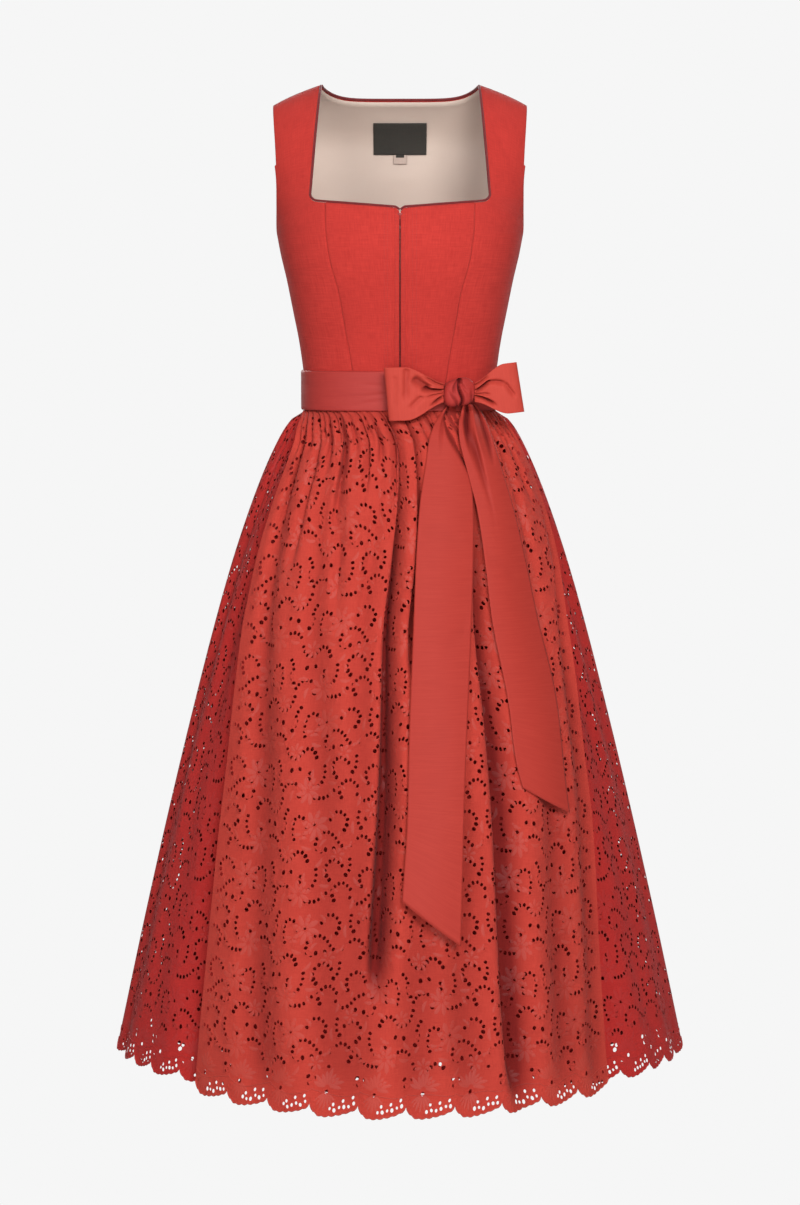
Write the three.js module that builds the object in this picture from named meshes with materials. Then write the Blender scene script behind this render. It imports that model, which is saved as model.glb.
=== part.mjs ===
// A dirndl in its worn form: a zipped bodice with straps, a gathered eyelet-lace skirt, a lace apron
// gathered into a waistband, and a taffeta bow with two streamers. Millimetres, +Z up, the front
// faces -Y, and +X is the wearer's left. The origin lies midway between the straps, at their height.
import * as THREE from "three";

// Driving dimensions
const SEAM = 0.3; // clearance at every seam
const LINEN = 1.5; // bodice cloth with its interlining
const SATIN = 1.0; // lining
const LINING_GAP = 0.9; // between the lining and the cloth at the neck
const LINING_SLACK = 2.5; // the lining hangs this much looser below the neck
const LACE = 2.2; // gathered embroidered cotton, measured level
const BAND = 1.8; // folded waistband
const TAFFETA = 1.3; // ribbon
const PIPING_RADIUS = 1.6;
const CORNERS = 2.35; // exponent of the rounded bodice section: 2 is an ellipse
const STRAP_NECK = { x: 102, z: -5 };
const STRAP_TIP = { x: 162, z: -31 };
const SHOULDER_ROUND = 75; // height over which the cloth rolls over the shoulder
const ARMHOLE = { bottom: -194, middle: -110, front: 46, back: 56 };
const BACK_NECK = -20;
const BODICE_HEM = -393.7;
const BAND_TOP = -366.8;
const BAND_BOTTOM = -417;
const BAND_RING = { half: 127.5, front: 93.3, back: 87.3 };
const SKIRT_TOP = -394;
const APRON_TOP = -417.3;
const HEM = -1241; // top of the scallops
const SCALLOP = 17; // depth of a scallop
const SCALLOP_STEPS = [0, 1, 0.85, 0.66, 0.42, 0.2]; // share of that depth along one scallop
const APRON_DROP = 5; // the apron's hem hangs this much lower than the skirt's
const GATHERS = { apron: 30, skirtFront: 10, skirtBack: 28 };
const EYELET = 2.7; // radius of the large eyelets

// Sections of the bodice: half width and depth to the front and to the back at each height
const BODICE = [
  { z: 0, half: 200, front: 64, back: 80 },
  { z: -36, half: 194, front: 70, back: 88 },
  { z: -62, half: 189, front: 76, back: 96 },
  { z: -100, half: 180, front: 84, back: 104 },
  { z: -137, half: 170, front: 92, back: 108 },
  { z: -164, half: 163, front: 102, back: 110 },
  { z: -194, half: 157.5, front: 112, back: 108 },
  { z: -225, half: 151.5, front: 116, back: 104 },
  { z: -250, half: 145.5, front: 114, back: 100 },
  { z: -290, half: 137.5, front: 106, back: 95 },
  { z: -328, half: 130, front: 97, back: 90 },
  { z: -366, half: 124.5, front: 90, back: 84.5 },
  { z: -394, half: 121.5, front: 88, back: 83 },
];

// Crests of the skirt's folds. tuck is how far its sides are pressed in under the apron.
const SKIRT = [
  { z: -394, half: 122.6, front: 88.6, back: 83.8, tuck: 0 },
  { z: -418, half: 122.6, front: 88.4, back: 84.4, tuck: 0 },
  { z: -430, half: 140, front: 97.5, back: 100, tuck: 8 },
  { z: -457, half: 157.6, front: 106.4, back: 118, tuck: 9 },
  { z: -509, half: 181.1, front: 120, back: 140, tuck: 9 },
  { z: -586, half: 208.8, front: 136, back: 165, tuck: 7 },
  { z: -665, half: 232.7, front: 149.6, back: 187, tuck: 6 },
  { z: -770, half: 260.8, front: 165.6, back: 212, tuck: 3 },
  { z: -928, half: 300, front: 188, back: 244, tuck: 0 },
  { z: -1088, half: 337, front: 209.4, back: 273, tuck: 0 },
  { z: -1258, half: 374, front: 231, back: 300, tuck: 0 },
];

// Crests of the apron's folds, and the x of its two free edges
const APRON = [
  { z: -417.3, half: 128.3, front: 95.2, left: -124, right: 122 },
  { z: -430, half: 143.5, front: 107, left: -127, right: 132 },
  { z: -457, half: 161.3, front: 121.5, left: -132, right: 149 },
  { z: -527, half: 190.5, front: 147, left: -156.5, right: 178 },
  { z: -600, half: 216.5, front: 170, left: -178.5, right: 199.5 },
  { z: -682, half: 239, front: 191, left: -196.3, right: 212 },
  { z: -770, half: 260, front: 212, left: -208.5, right: 226 },
  { z: -850, half: 275, front: 229.5, left: -217.4, right: 236.5 },
  { z: -928, half: 288.5, front: 246, left: -226, right: 245 },
  { z: -1043, half: 304.5, front: 269.5, left: -237.5, right: 252 },
  { z: -1145, half: 315, front: 290, left: -247.5, right: 256.5 },
  { z: -1263, half: 324, front: 312, left: -257.5, right: 264 },
];

// Folds of the apron: where each trough runs across the apron (0 left edge, 1 right edge) near the
// top, half-way and at the hem, how deep and wide it is, and the heights between which it shows
const APRON_FOLDS = [
  { top: 0.03, middle: 0.115, hem: 0.212, depth: 15, width: 0.034, from: -430, to: -1300 },
  { top: 0.187, middle: 0.296, hem: 0.352, depth: 14, width: 0.03, from: -430, to: -1300 },
  { top: 0.257, middle: 0.335, hem: 0.34, depth: 9, width: 0.024, from: -430, to: -760 },
  { top: 0.4, middle: 0.43, hem: 0.535, depth: 20, width: 0.03, from: -430, to: -1300 },
  { top: 0.5, middle: 0.48, hem: 0.47, depth: 12, width: 0.024, from: -430, to: -760 },
  { top: 0.43, middle: 0.435, hem: 0.445, depth: 17, width: 0.03, from: -840, to: -1300 },
  { top: 0.57, middle: 0.595, hem: 0.62, depth: 17, width: 0.03, from: -700, to: -1300 },
  { top: 0.667, middle: 0.715, hem: 0.734, depth: 21, width: 0.034, from: -430, to: -1300 },
  { top: 0.85, middle: 0.86, hem: 0.86, depth: 13, width: 0.03, from: -560, to: -1300 },
];
const FOLD_MARKS = { top: -480, middle: -800, hem: -1250 };
const FOLD_GROWTH = 260; // height over which a fold reaches its depth

// x of the princess seams at each height
const FRONT_PRINCESS = [
  { z: -156.5, x: 94 },
  { z: -175, x: 93.8 },
  { z: -194, x: 93 },
  { z: -223, x: 89 },
  { z: -243, x: 84.5 },
  { z: -266, x: 77.6 },
  { z: -309, x: 70 },
  { z: -348, x: 63 },
  { z: BODICE_HEM, x: 56 },
];
const BACK_PRINCESS = [
  { z: -121, x: 153 },
  { z: -133, x: 146.5 },
  { z: -150, x: 140.5 },
  { z: -172, x: 132.5 },
  { z: -194, x: 124 },
  { z: -223, x: 111 },
  { z: -243, x: 102 },
  { z: -266, x: 92 },
  { z: -309, x: 74 },
  { z: -348, x: 60 },
  { z: BODICE_HEM, x: 46 },
];
// x of the strap's outer edge above the armhole's middle
const STRAP_EDGE = [
  { z: STRAP_TIP.z, x: STRAP_TIP.x },
  { z: -50, x: 160.5 },
  { z: -62, x: 159.6 },
  { z: -85, x: 158 },
  { z: -110, x: 156.9 },
];
// The neck's rounded front corner, from the neck side round to the princess seam
const NECK_CORNER = [
  { x: 114.5, z: -148 },
  { x: 113.4, z: -152 },
  { x: 110.5, z: -154.6 },
  { x: 104, z: -155.8 },
];

// Edges of the two streamers at each height, as x
const LONG_STREAMER = [
  { z: -410.8, left: 57, right: 79.5 },
  { z: -432, left: 43, right: 80 },
  { z: -453, left: 36.1, right: 82.4 },
  { z: -480, left: 32.2, right: 85.7 },
  { z: -528, left: 24.7, right: 91.1 },
  { z: -600, left: 19.6, right: 90.9 },
  { z: -692, left: 15.9, right: 87.6 },
  { z: -800, left: 11.4, right: 82.5 },
  { z: -916, left: 8.5, right: 77.6 },
  { z: -1005, left: 2.4, right: 74 },
];
const SHORT_STREAMER = [
  { z: -408.3, left: 83.5, right: 95 },
  { z: -428, left: 80.5, right: 108 },
  { z: -450, left: 77, right: 115 },
  { z: -498, left: 89.5, right: 131 },
  { z: -540, left: 97, right: 143.4 },
  { z: -605, left: 106, right: 158.3 },
  { z: -675, left: 114.5, right: 173 },
  { z: -769, left: 133.4, right: 196 },
  { z: -842, left: 143, right: 207 },
  { z: -877, left: 151.7, right: 212 },
];

const KNOT = { x: 73.7, y: -95.7, z: -393, half: 20, depth: 13, height: 18, turn: 0.2 };
// Loops of the bow: the root at the knot and the tip, each with its height and its lean. bulge is how
// far the front layer stands out.
const RIGHT_LOOP = {
  root: { x: 56.5, y: -98, z: -393, height: 24, lean: 0 },
  tip: { x: -17, y: -113, z: -395, height: 66, lean: -3 },
  bulge: 12,
};
const LEFT_LOOP = {
  root: { x: 91.6, y: -96, z: -393, height: 24, lean: 0 },
  tip: { x: 151, y: -98, z: -386, height: 62, lean: -5 },
  bulge: 11,
};

const group = new THREE.Group();

function material(colour, roughness, metalness = 0) {
  return new THREE.MeshStandardMaterial({ color: colour, roughness, metalness });
}

const linen = material("#c94b42", 0.85);
const lace = material("#c84c3f", 0.9);
const satin = material("#c6b4a6", 0.45);
const cord = material("#92302f", 0.7);
const taffeta = material("#c24a3f", 0.5);
const tape = material("#8c2a2c", 0.8);
const slider = material("#8f2629", 0.4, 0.6);
const labelCloth = material("#35332e", 0.8);

// A column of a table at height z, on a smooth curve through its rows, which run downwards
function at(table, name, z) {
  const last = table.length - 1;
  if (z >= table[0].z) return table[0][name];
  if (z <= table[last].z) return table[last][name];
  let i = 0;
  while (z < table[i + 1].z) i++;
  const slope = (j) => {
    const before = table[Math.max(j - 1, 0)];
    const after = table[Math.min(j + 1, last)];
    return (after[name] - before[name]) / (after.z - before.z);
  };
  const span = table[i + 1].z - table[i].z;
  const t = (z - table[i].z) / span;
  const rise = t * t * (3 - 2 * t);
  return (
    table[i][name] * (1 - rise) +
    table[i + 1][name] * rise +
    span * t * (1 - t) * ((1 - t) * slope(i) - t * slope(i + 1))
  );
}

function lerp(a, b, t) {
  return a + (b - a) * t;
}

// Adds the mesh of a closed body to the group, turned so that its faces point out
function addBody(name, points, faces, finish, mirrored = false) {
  const position = [];
  for (const p of points) position.push(mirrored ? -p.x : p.x, p.y, p.z);
  const corner = (i) => new THREE.Vector3(position[3 * i], position[3 * i + 1], position[3 * i + 2]);
  let volume = 0;
  for (const [a, b, c] of faces) volume += corner(a).dot(corner(b).cross(corner(c)));
  const index = faces.flatMap(([a, b, c]) => (volume > 0 ? [a, b, c] : [a, c, b]));
  const geometry = new THREE.BufferGeometry();
  geometry.setAttribute("position", new THREE.Float32BufferAttribute(position, 3));
  geometry.setIndex(index);
  geometry.computeVertexNormals();
  const mesh = new THREE.Mesh(geometry, finish);
  mesh.name = name;
  group.add(mesh);
}

// Faces between two rows of point indices, which may hold different numbers of points
function strip(upper, lower) {
  const faces = [];
  let p = 0;
  let q = 0;
  while (p < upper.length - 1 || q < lower.length - 1) {
    const nextUpper = (p + 1) / (upper.length - 1);
    const nextLower = (q + 1) / (lower.length - 1);
    if (nextUpper <= nextLower) faces.push([upper[p], lower[q], upper[++p]]);
    else faces.push([upper[p], lower[q], lower[++q]]);
  }
  return faces;
}

// Faces of one cell of a wall with an eyelet through it, on both sides and round the hole
function eyeletCell(points, outer, inner, radius, sides) {
  const width = points[outer[0]].distanceTo(points[outer[3]]);
  const height = points[outer[0]].distanceTo(points[outer[1]]);
  const cell = [[0, 1], [0, 0], [1, 0], [1, 1]].map(([x, y]) => new THREE.Vector2(x * width, y * height));
  const hole = [];
  for (let k = 0; k < sides; k++) {
    const angle = (k + 0.5) * ((2 * Math.PI) / sides);
    hole.push(new THREE.Vector2(width / 2 + radius * Math.cos(angle), height / 2 + radius * Math.sin(angle)));
  }
  const place = (corners, h) => {
    const upper = points[corners[0]].clone().lerp(points[corners[3]], h.x / width);
    const lower = points[corners[1]].clone().lerp(points[corners[2]], h.x / width);
    return points.push(lower.lerp(upper, h.y / height)) - 1;
  };
  const outerRim = hole.map((h) => place(outer, h));
  const innerRim = hole.map((h) => place(inner, h));
  const flat = [...cell, ...hole];
  const faces = [];
  for (const [a, b, c] of THREE.ShapeUtils.triangulateShape(cell, [hole])) {
    const turn = flat[b].clone().sub(flat[a]).cross(flat[c].clone().sub(flat[a]));
    const [i, j] = turn > 0 ? [b, c] : [c, b];
    const front = [...outer, ...outerRim];
    const back = [...inner, ...innerRim];
    faces.push([front[a], front[i], front[j]], [back[a], back[j], back[i]]);
  }
  for (let k = 0; k < sides; k++) {
    const n = (k + 1) % sides;
    faces.push([outerRim[k], outerRim[n], innerRim[n]], [outerRim[k], innerRim[n], innerRim[k]]);
  }
  return faces;
}

// A closed wall through rows of { outer, inner } points, with eyelets where hasEyelet says so
function addWall(name, rows, finish, { mirrored = false, hasEyelet = () => false, sides = 5 } = {}) {
  const points = [];
  const put = (p) => points.push(p) - 1;
  const index = rows.map((row) => ({ outer: row.outer.map(put), inner: row.inner.map(put) }));
  const faces = [];
  const turned = ([a, b, c]) => [a, c, b];
  for (let i = 0; i < index.length - 1; i++) {
    const [top, low] = [index[i], index[i + 1]];
    const columns = top.outer.length - 1;
    const even = columns === low.outer.length - 1;
    if (!even) {
      faces.push(...strip(top.outer, low.outer), ...strip(top.inner, low.inner).map(turned));
    }
    for (let j = 0; even && j < columns; j++) {
      const outer = [top.outer[j], low.outer[j], low.outer[j + 1], top.outer[j + 1]];
      const inner = [top.inner[j], low.inner[j], low.inner[j + 1], top.inner[j + 1]];
      if (hasEyelet(i, j)) {
        faces.push(...eyeletCell(points, outer, inner, EYELET, sides));
      } else {
        faces.push([outer[0], outer[1], outer[2]], [outer[0], outer[2], outer[3]]);
        faces.push([inner[0], inner[2], inner[1]], [inner[0], inner[3], inner[2]]);
      }
    }
    const [l, r] = [0, -1];
    faces.push([low.outer.at(l), top.outer.at(l), top.inner.at(l)]);
    faces.push([low.outer.at(l), top.inner.at(l), low.inner.at(l)]);
    faces.push([top.outer.at(r), low.outer.at(r), low.inner.at(r)]);
    faces.push([top.outer.at(r), low.inner.at(r), top.inner.at(r)]);
  }
  const first = index[0];
  const end = index.at(-1);
  for (let j = 0; j < first.outer.length - 1; j++) {
    faces.push([first.outer[j], first.outer[j + 1], first.inner[j + 1]]);
    faces.push([first.outer[j], first.inner[j + 1], first.inner[j]]);
  }
  for (let j = 0; j < end.outer.length - 1; j++) {
    faces.push([end.outer[j + 1], end.outer[j], end.inner[j]]);
    faces.push([end.outer[j + 1], end.inner[j], end.inner[j + 1]]);
  }
  addBody(name, points, faces, finish, mirrored);
}

// Height of the shoulder seam above each x
function shoulder(x) {
  const slope = (STRAP_NECK.z - STRAP_TIP.z) / (STRAP_TIP.x - STRAP_NECK.x);
  return STRAP_NECK.z - slope * Math.max(0, x - STRAP_NECK.x);
}

// A point of the bodice's outer face: turn is 0 at centre front or back and a right angle at the
// side, and side is -1 for the front and 1 for the back
function bodicePoint(turn, z, side) {
  const half = at(BODICE, "half", z);
  const depth = at(BODICE, side < 0 ? "front" : "back", z);
  const x = half * Math.sign(turn) * Math.abs(Math.sin(turn)) ** (2 / CORNERS);
  const drop = THREE.MathUtils.clamp((shoulder(Math.abs(x)) - z) / SHOULDER_ROUND, 0, 1);
  const roll = Math.sqrt(1 - (1 - drop) ** 2);
  const y = depth * roll * Math.max(0, Math.cos(turn)) ** (2 / CORNERS) + SEAM / 2;
  return new THREE.Vector3(x, side * y, z);
}

// The same point moved inwards by depth, square to the cloth
function bodiceInset(turn, z, side, depth) {
  const step = 0.01;
  const here = bodicePoint(turn, z, side);
  const sideways = bodicePoint(turn - step, z, side).sub(here);
  const down = bodicePoint(turn, z - 0.5, side).sub(here);
  const normal = sideways.cross(down).normalize();
  here.addScaledVector(normal, depth * side);
  here.y = side * Math.max(side * here.y, SEAM / 2);
  return here;
}

// The turn at which the bodice's section at height z reaches x, or lies depth y from the side plane
function turnAtX(x, z) {
  return Math.sign(x) * Math.asin(Math.min(1, Math.abs(x) / at(BODICE, "half", z)) ** (CORNERS / 2));
}

function turnAtDepth(y, z, side) {
  return Math.acos((y / at(BODICE, side < 0 ? "front" : "back", z)) ** (CORNERS / 2));
}

// A point of the armhole's edge, as { turn, z }, from its bottom (0) round to its middle (90 degrees)
function armhole(degrees, side) {
  const angle = THREE.MathUtils.degToRad(degrees);
  const z = ARMHOLE.middle - (ARMHOLE.middle - ARMHOLE.bottom) * Math.cos(angle);
  const reach = side < 0 ? ARMHOLE.front : ARMHOLE.back;
  return { turn: turnAtDepth(reach * Math.sin(angle), z, side), z };
}

function strapEdge(z) {
  return { turn: turnAtX(at(STRAP_EDGE, "x", z), z), z };
}

// Rows of a bodice panel from { inner, outer } ends given as { turn, z }. edge, where a row has one,
// gives the height of the cloth's edge at each x.
function bodiceRows(ends, shares, side, depth, thickness) {
  return ends.map(({ inner, outer, edge }) => {
    const row = { outer: [], inner: [] };
    for (const share of shares) {
      const turn = lerp(inner.turn, outer.turn, share);
      let z = lerp(inner.z, outer.z, share);
      if (edge) z = edge(Math.abs(bodicePoint(turn, z, side).x));
      row.outer.push(bodiceInset(turn, z, side, depth));
      row.inner.push(bodiceInset(turn, z, side, depth + thickness));
    }
    return row;
  });
}

function even(count) {
  return Array.from({ length: count + 1 }, (_, i) => i / count);
}

const SIDE_SEAM = Math.PI / 2;
const SIDE_HEIGHTS = [-194, -223, -243, -266, -309, -348, BODICE_HEM];
const STRAP_DROPS = [0, 3, 10, 22, 40, 62];
const seamEnd = (table, z, gap) => ({ turn: turnAtX(at(table, "x", z) + gap, z), z });
const sideEnd = (z) => ({ turn: SIDE_SEAM, z });

function neckSide(z) {
  const corner = NECK_CORNER[0];
  const share = (STRAP_NECK.z - z) / (STRAP_NECK.z - corner.z);
  return { turn: turnAtX(lerp(STRAP_NECK.x, corner.x, share), z), z };
}

// Height of the neckline's front edge, with the small notch at the zip
function frontNeck(x) {
  const rise = 7.5 * (x / FRONT_PRINCESS[0].x);
  const notch = 4 * Math.max(0, 1 - x / 6);
  return -164 + rise - notch;
}

const ZIP_GAP = 0.7; // half of the gap in which the zip lies
const SLIDER = { top: -170, shoulder: 3.2, neck: 1.6, length: 16.6, thickness: 2.2, bevel: 0.4, lift: 0.5 };
const FRONT_SHARES = [0, 0.09, 0.36, 0.68, 1];
const frontCentreEnds = FRONT_PRINCESS.map(({ z }, i) => ({
  inner: { turn: turnAtX(ZIP_GAP, z), z },
  outer: seamEnd(FRONT_PRINCESS, z, -SEAM / 2),
  edge: i === 0 ? frontNeck : undefined,
}));

const CORNER_ARM = [60, 52, 44, 36];
const frontSideEnds = [
  ...STRAP_DROPS.map((drop) => ({
    inner: neckSide(STRAP_NECK.z - drop),
    outer: strapEdge(STRAP_TIP.z - drop),
  })),
  { inner: neckSide(-96), outer: armhole(90, -1) },
  { inner: neckSide(-126), outer: armhole(75, -1) },
  ...NECK_CORNER.map(({ x, z }, i) => ({
    inner: { turn: turnAtX(x, z), z },
    outer: armhole(CORNER_ARM[i], -1),
  })),
  { inner: seamEnd(FRONT_PRINCESS, -156.5, SEAM / 2), outer: armhole(27, -1) },
  { inner: seamEnd(FRONT_PRINCESS, -175, SEAM / 2), outer: armhole(15, -1) },
  ...SIDE_HEIGHTS.map((z) => ({ inner: seamEnd(FRONT_PRINCESS, z, SEAM / 2), outer: sideEnd(z) })),
];

const BACK_ARM = [
  { z: -121, angle: 83 },
  { z: -133, angle: 73 },
  { z: -150, angle: 58 },
  { z: -172, angle: 32 },
];
const backSideEnds = [
  ...BACK_ARM.map(({ z, angle }) => ({
    inner: seamEnd(BACK_PRINCESS, z, SEAM / 2),
    outer: armhole(angle, 1),
  })),
  ...SIDE_HEIGHTS.map((z) => ({ inner: seamEnd(BACK_PRINCESS, z, SEAM / 2), outer: sideEnd(z) })),
];

// The back's neck edge, and the rows of its straps, which share one set of places across
const BACK_SHARES = [0, 0.25, 0.46, 0.57, 0.61, 0.63, 0.75, 0.88, 1];
const backNeck = (x) => {
  const rise = STRAP_NECK.z - BACK_NECK;
  return x > STRAP_NECK.x ? shoulder(x) : BACK_NECK + rise * (x / STRAP_NECK.x) ** 6;
};

// Rows of the whole back above the armhole's middle, as points over x, with its edge at the top. The
// cloth lies slack deeper at their foot.
function backYokeRows(depth, thickness, trim, slack) {
  const levels = [0, 0.03, 0.1, 0.22, 0.42, 0.7];
  const shares = [...BACK_SHARES.map((s) => -s).reverse(), ...BACK_SHARES.slice(1)];
  return levels.map((level) => {
    const row = { outer: [], inner: [] };
    for (const share of shares) {
      const edgeX = at(STRAP_EDGE, "x", lerp(STRAP_TIP.z, ARMHOLE.middle, level)) - trim;
      const x = share * edgeX;
      const z = lerp(backNeck(Math.abs(x)), ARMHOLE.middle, level) - trim * (1 - level);
      const turn = turnAtX(x, z);
      const settled = depth + slack * level;
      row.outer.push(bodiceInset(turn, z, 1, settled));
      row.inner.push(bodiceInset(turn, z, 1, settled + thickness));
    }
    return row;
  });
}

// Rows of the back below that, between ends of one turn mirrored to the other side
function backLowerRows(ends, depth, thickness) {
  return ends.map(({ turn, z }) => {
    const row = { outer: [], inner: [] };
    for (const share of [-1, -0.75, -0.5, -0.25, 0, 0.25, 0.5, 0.75, 1]) {
      row.outer.push(bodiceInset(share * turn, z, 1, depth));
      row.inner.push(bodiceInset(share * turn, z, 1, depth + thickness));
    }
    return row;
  });
}

function addBodice() {
  for (const mirrored of [false, true]) {
    const hand = mirrored ? "right" : "left";
    const centre = bodiceRows(frontCentreEnds, FRONT_SHARES, -1, 0, LINEN);
    addWall("front_centre_" + hand, centre, linen, { mirrored });
    const side = bodiceRows(frontSideEnds, even(4), -1, 0, LINEN);
    addWall("front_side_" + hand, side, linen, { mirrored });
    const back = bodiceRows(backSideEnds, even(3), 1, 0, LINEN);
    addWall("back_side_" + hand, back, linen, { mirrored });
  }
  const backEnds = [
    armhole(88, 1),
    ...BACK_PRINCESS.map(({ z }) => seamEnd(BACK_PRINCESS, z, -SEAM / 2)),
  ];
  const back = [...backYokeRows(0, LINEN, 0, 0), ...backLowerRows(backEnds, 0, LINEN)];
  addWall("back_centre", back, linen);
}

// Satin lining of the whole back, which shows through the neck
function addLining() {
  const depth = LINEN + LINING_GAP;
  const trim = 2.5;
  const clearOfEdge = 0.03;
  const arm = [88, 73, 58, 32].map((degrees) => {
    const end = armhole(degrees, 1);
    return { turn: end.turn - clearOfEdge, z: end.z };
  });
  const sides = [-198, -243, -309, BODICE_HEM].map((z) => ({ turn: SIDE_SEAM - 2 * clearOfEdge, z }));
  const rows = [
    ...backYokeRows(depth, SATIN, trim, LINING_SLACK),
    ...backLowerRows([...arm, ...sides], depth + LINING_SLACK, SATIN),
  ];
  addWall("lining_back", rows, satin);
}

// A thin patch on the lining's inner face, lift above it
function addPatch(name, width, top, bottom, thickness, lift, finish) {
  const rows = [top, bottom].map((z) => {
    const level = (z - BACK_NECK) / (ARMHOLE.middle - BACK_NECK);
    const depth = LINEN + LINING_GAP + SATIN + LINING_SLACK * level + lift;
    const turn = turnAtX(width / 2, z);
    const row = { outer: [], inner: [] };
    for (const share of even(2)) {
      const here = lerp(-turn, turn, share);
      row.outer.push(bodiceInset(here, z, 1, depth));
      row.inner.push(bodiceInset(here, z, 1, depth + thickness));
    }
    return row;
  });
  addWall(name, rows, finish);
}

// A round cord through points, each with the direction that faces away from the garment
function addCord(name, route, radius, finish, mirrored = false) {
  const sides = 5;
  const points = [];
  const faces = [];
  route.forEach(({ point, out }, i) => {
    const before = route[Math.max(i - 1, 0)].point;
    const after = route[Math.min(i + 1, route.length - 1)].point;
    const along = after.clone().sub(before).normalize();
    const across = new THREE.Vector3().crossVectors(along, out).normalize();
    const up = new THREE.Vector3().crossVectors(across, along);
    for (let k = 0; k < sides; k++) {
      const angle = (2 * Math.PI * k) / sides;
      const p = point.clone().addScaledVector(across, radius * Math.cos(angle));
      points.push(p.addScaledVector(up, radius * Math.sin(angle)));
    }
  });
  for (let i = 0; i < route.length - 1; i++) {
    for (let k = 0; k < sides; k++) {
      const n = (k + 1) % sides;
      const [a, b] = [i * sides + k, i * sides + n];
      faces.push([a, b, b + sides], [a, b + sides, a + sides]);
    }
  }
  const last = (route.length - 1) * sides;
  for (let k = 1; k < sides - 1; k++) {
    faces.push([0, k + 1, k], [last, last + k, last + k + 1]);
  }
  addBody(name, points, faces, finish, mirrored);
}

// Stations of a piping beside an edge of cloth, given as { outer, inner } pairs. side says on which
// side of the edge it lies. Its ends stop a seam's clearance short.
function pipingRoute(edge, side) {
  const middles = edge.map(({ outer, inner }) => outer.clone().add(inner).multiplyScalar(0.5));
  const last = middles.length - 1;
  return edge.map(({ outer, inner }, i) => {
    const before = middles[i].clone().sub(middles[Math.max(i - 1, 0)]).normalize();
    const after = middles[Math.min(i + 1, last)].clone().sub(middles[i]).normalize();
    const along = before.clone().add(after).normalize();
    const mitre = i > 0 && i < last ? 1 / Math.max(0.6, along.dot(after)) : 1;
    const out = outer.clone().sub(inner).normalize();
    const away = new THREE.Vector3().crossVectors(out, along).normalize().multiplyScalar(side);
    const point = middles[i].clone().addScaledVector(away, (PIPING_RADIUS + SEAM) * mitre);
    if (i === 0) point.addScaledVector(along, 2 * SEAM);
    if (i === last) point.addScaledVector(along, -2 * SEAM);
    return { point, out };
  });
}

// The first or last pair of each row, or every pair of one row, as an edge
function sideEdge(rows) {
  return rows.map(({ outer, inner }) => ({ outer: outer[0], inner: inner[0] }));
}

function rowEdge({ outer, inner }) {
  return outer.map((point, i) => ({ outer: point, inner: inner[i] }));
}

function addPipings() {
  const neckRows = bodiceRows(frontSideEnds, [0, 1], -1, 0, LINEN).slice(0, STRAP_DROPS.length + 6);
  const frontRows = bodiceRows(frontCentreEnds, FRONT_SHARES, -1, 0, LINEN);
  const edge = [...sideEdge(neckRows), ...rowEdge(frontRows[0]).reverse()];
  const route = pipingRoute(edge, -1);
  addCord("piping_front_left", route, PIPING_RADIUS, cord);
  addCord("piping_front_right", route, PIPING_RADIUS, cord, true);

  const neck = rowEdge(backYokeRows(0, LINEN, 0, 0)[0]);
  const strapColumns = BACK_SHARES.filter((share) => share > 0.63).length;
  const between = neck.slice(strapColumns, neck.length - strapColumns);
  addCord("piping_back", pipingRoute(between, -1), PIPING_RADIUS, cord);
}

// Zip tapes behind the opening, and the slider at its top
function addZip() {
  const depth = LINEN + 2 * SEAM;
  for (const mirrored of [false, true]) {
    const rows = [-175, -194, -223, -243, -266, -309, -348, -365].map((z) => {
      const row = { outer: [], inner: [] };
      for (const x of [SEAM / 2, 13]) {
        row.outer.push(bodiceInset(turnAtX(x, z), z, -1, depth));
        row.inner.push(bodiceInset(turnAtX(x, z), z, -1, depth + 1));
      }
      return row;
    });
    addWall("zip_tape_" + (mirrored ? "right" : "left"), rows, tape, { mirrored });
  }
  const { top, shoulder: wide, neck, length, thickness, bevel } = SLIDER;
  const outline = new THREE.Shape();
  outline.moveTo(-0.8 * wide, 0);
  outline.lineTo(-wide, -0.35 * length);
  outline.lineTo(-neck, -0.5 * length);
  outline.lineTo(-neck, neck - length);
  outline.absarc(0, neck - length, neck, Math.PI, 2 * Math.PI);
  outline.lineTo(neck, -0.5 * length);
  outline.lineTo(wide, -0.35 * length);
  outline.lineTo(0.8 * wide, 0);
  const body = new THREE.ExtrudeGeometry(outline, {
    depth: thickness,
    bevelThickness: bevel,
    bevelSize: bevel,
    bevelSegments: 1,
    curveSegments: 5,
  });
  const mesh = new THREE.Mesh(body, slider);
  mesh.name = "zip_slider";
  const head = bodicePoint(turnAtX(ZIP_GAP, top), top, -1);
  const tail = bodicePoint(turnAtX(ZIP_GAP, top - length), top - length, -1);
  mesh.rotation.x = Math.PI / 2 + Math.atan2(tail.y - head.y, head.z - tail.z);
  mesh.position.set(0, head.y - bevel - SLIDER.lift, head.z);
  group.add(mesh);
}

// The front or the back half of the waistband
function addBand(name, side) {
  const point = (angle, z, inset) => {
    const depth = (side < 0 ? BAND_RING.front : BAND_RING.back) - inset;
    const x = (BAND_RING.half - inset) * Math.sign(angle) * Math.abs(Math.sin(angle)) ** (2 / CORNERS);
    const y = depth * Math.max(0, Math.cos(angle)) ** (2 / CORNERS) + SEAM / 2;
    return new THREE.Vector3(x, side * y, z);
  };
  const rows = [BAND_TOP, BAND_BOTTOM].map((z) => {
    const row = { outer: [], inner: [] };
    for (const share of even(24)) {
      const angle = lerp(-SIDE_SEAM, SIDE_SEAM, share);
      row.outer.push(point(angle, z, 0));
      row.inner.push(point(angle, z, BAND));
    }
    return row;
  });
  addWall(name, rows, taffeta);
}

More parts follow.
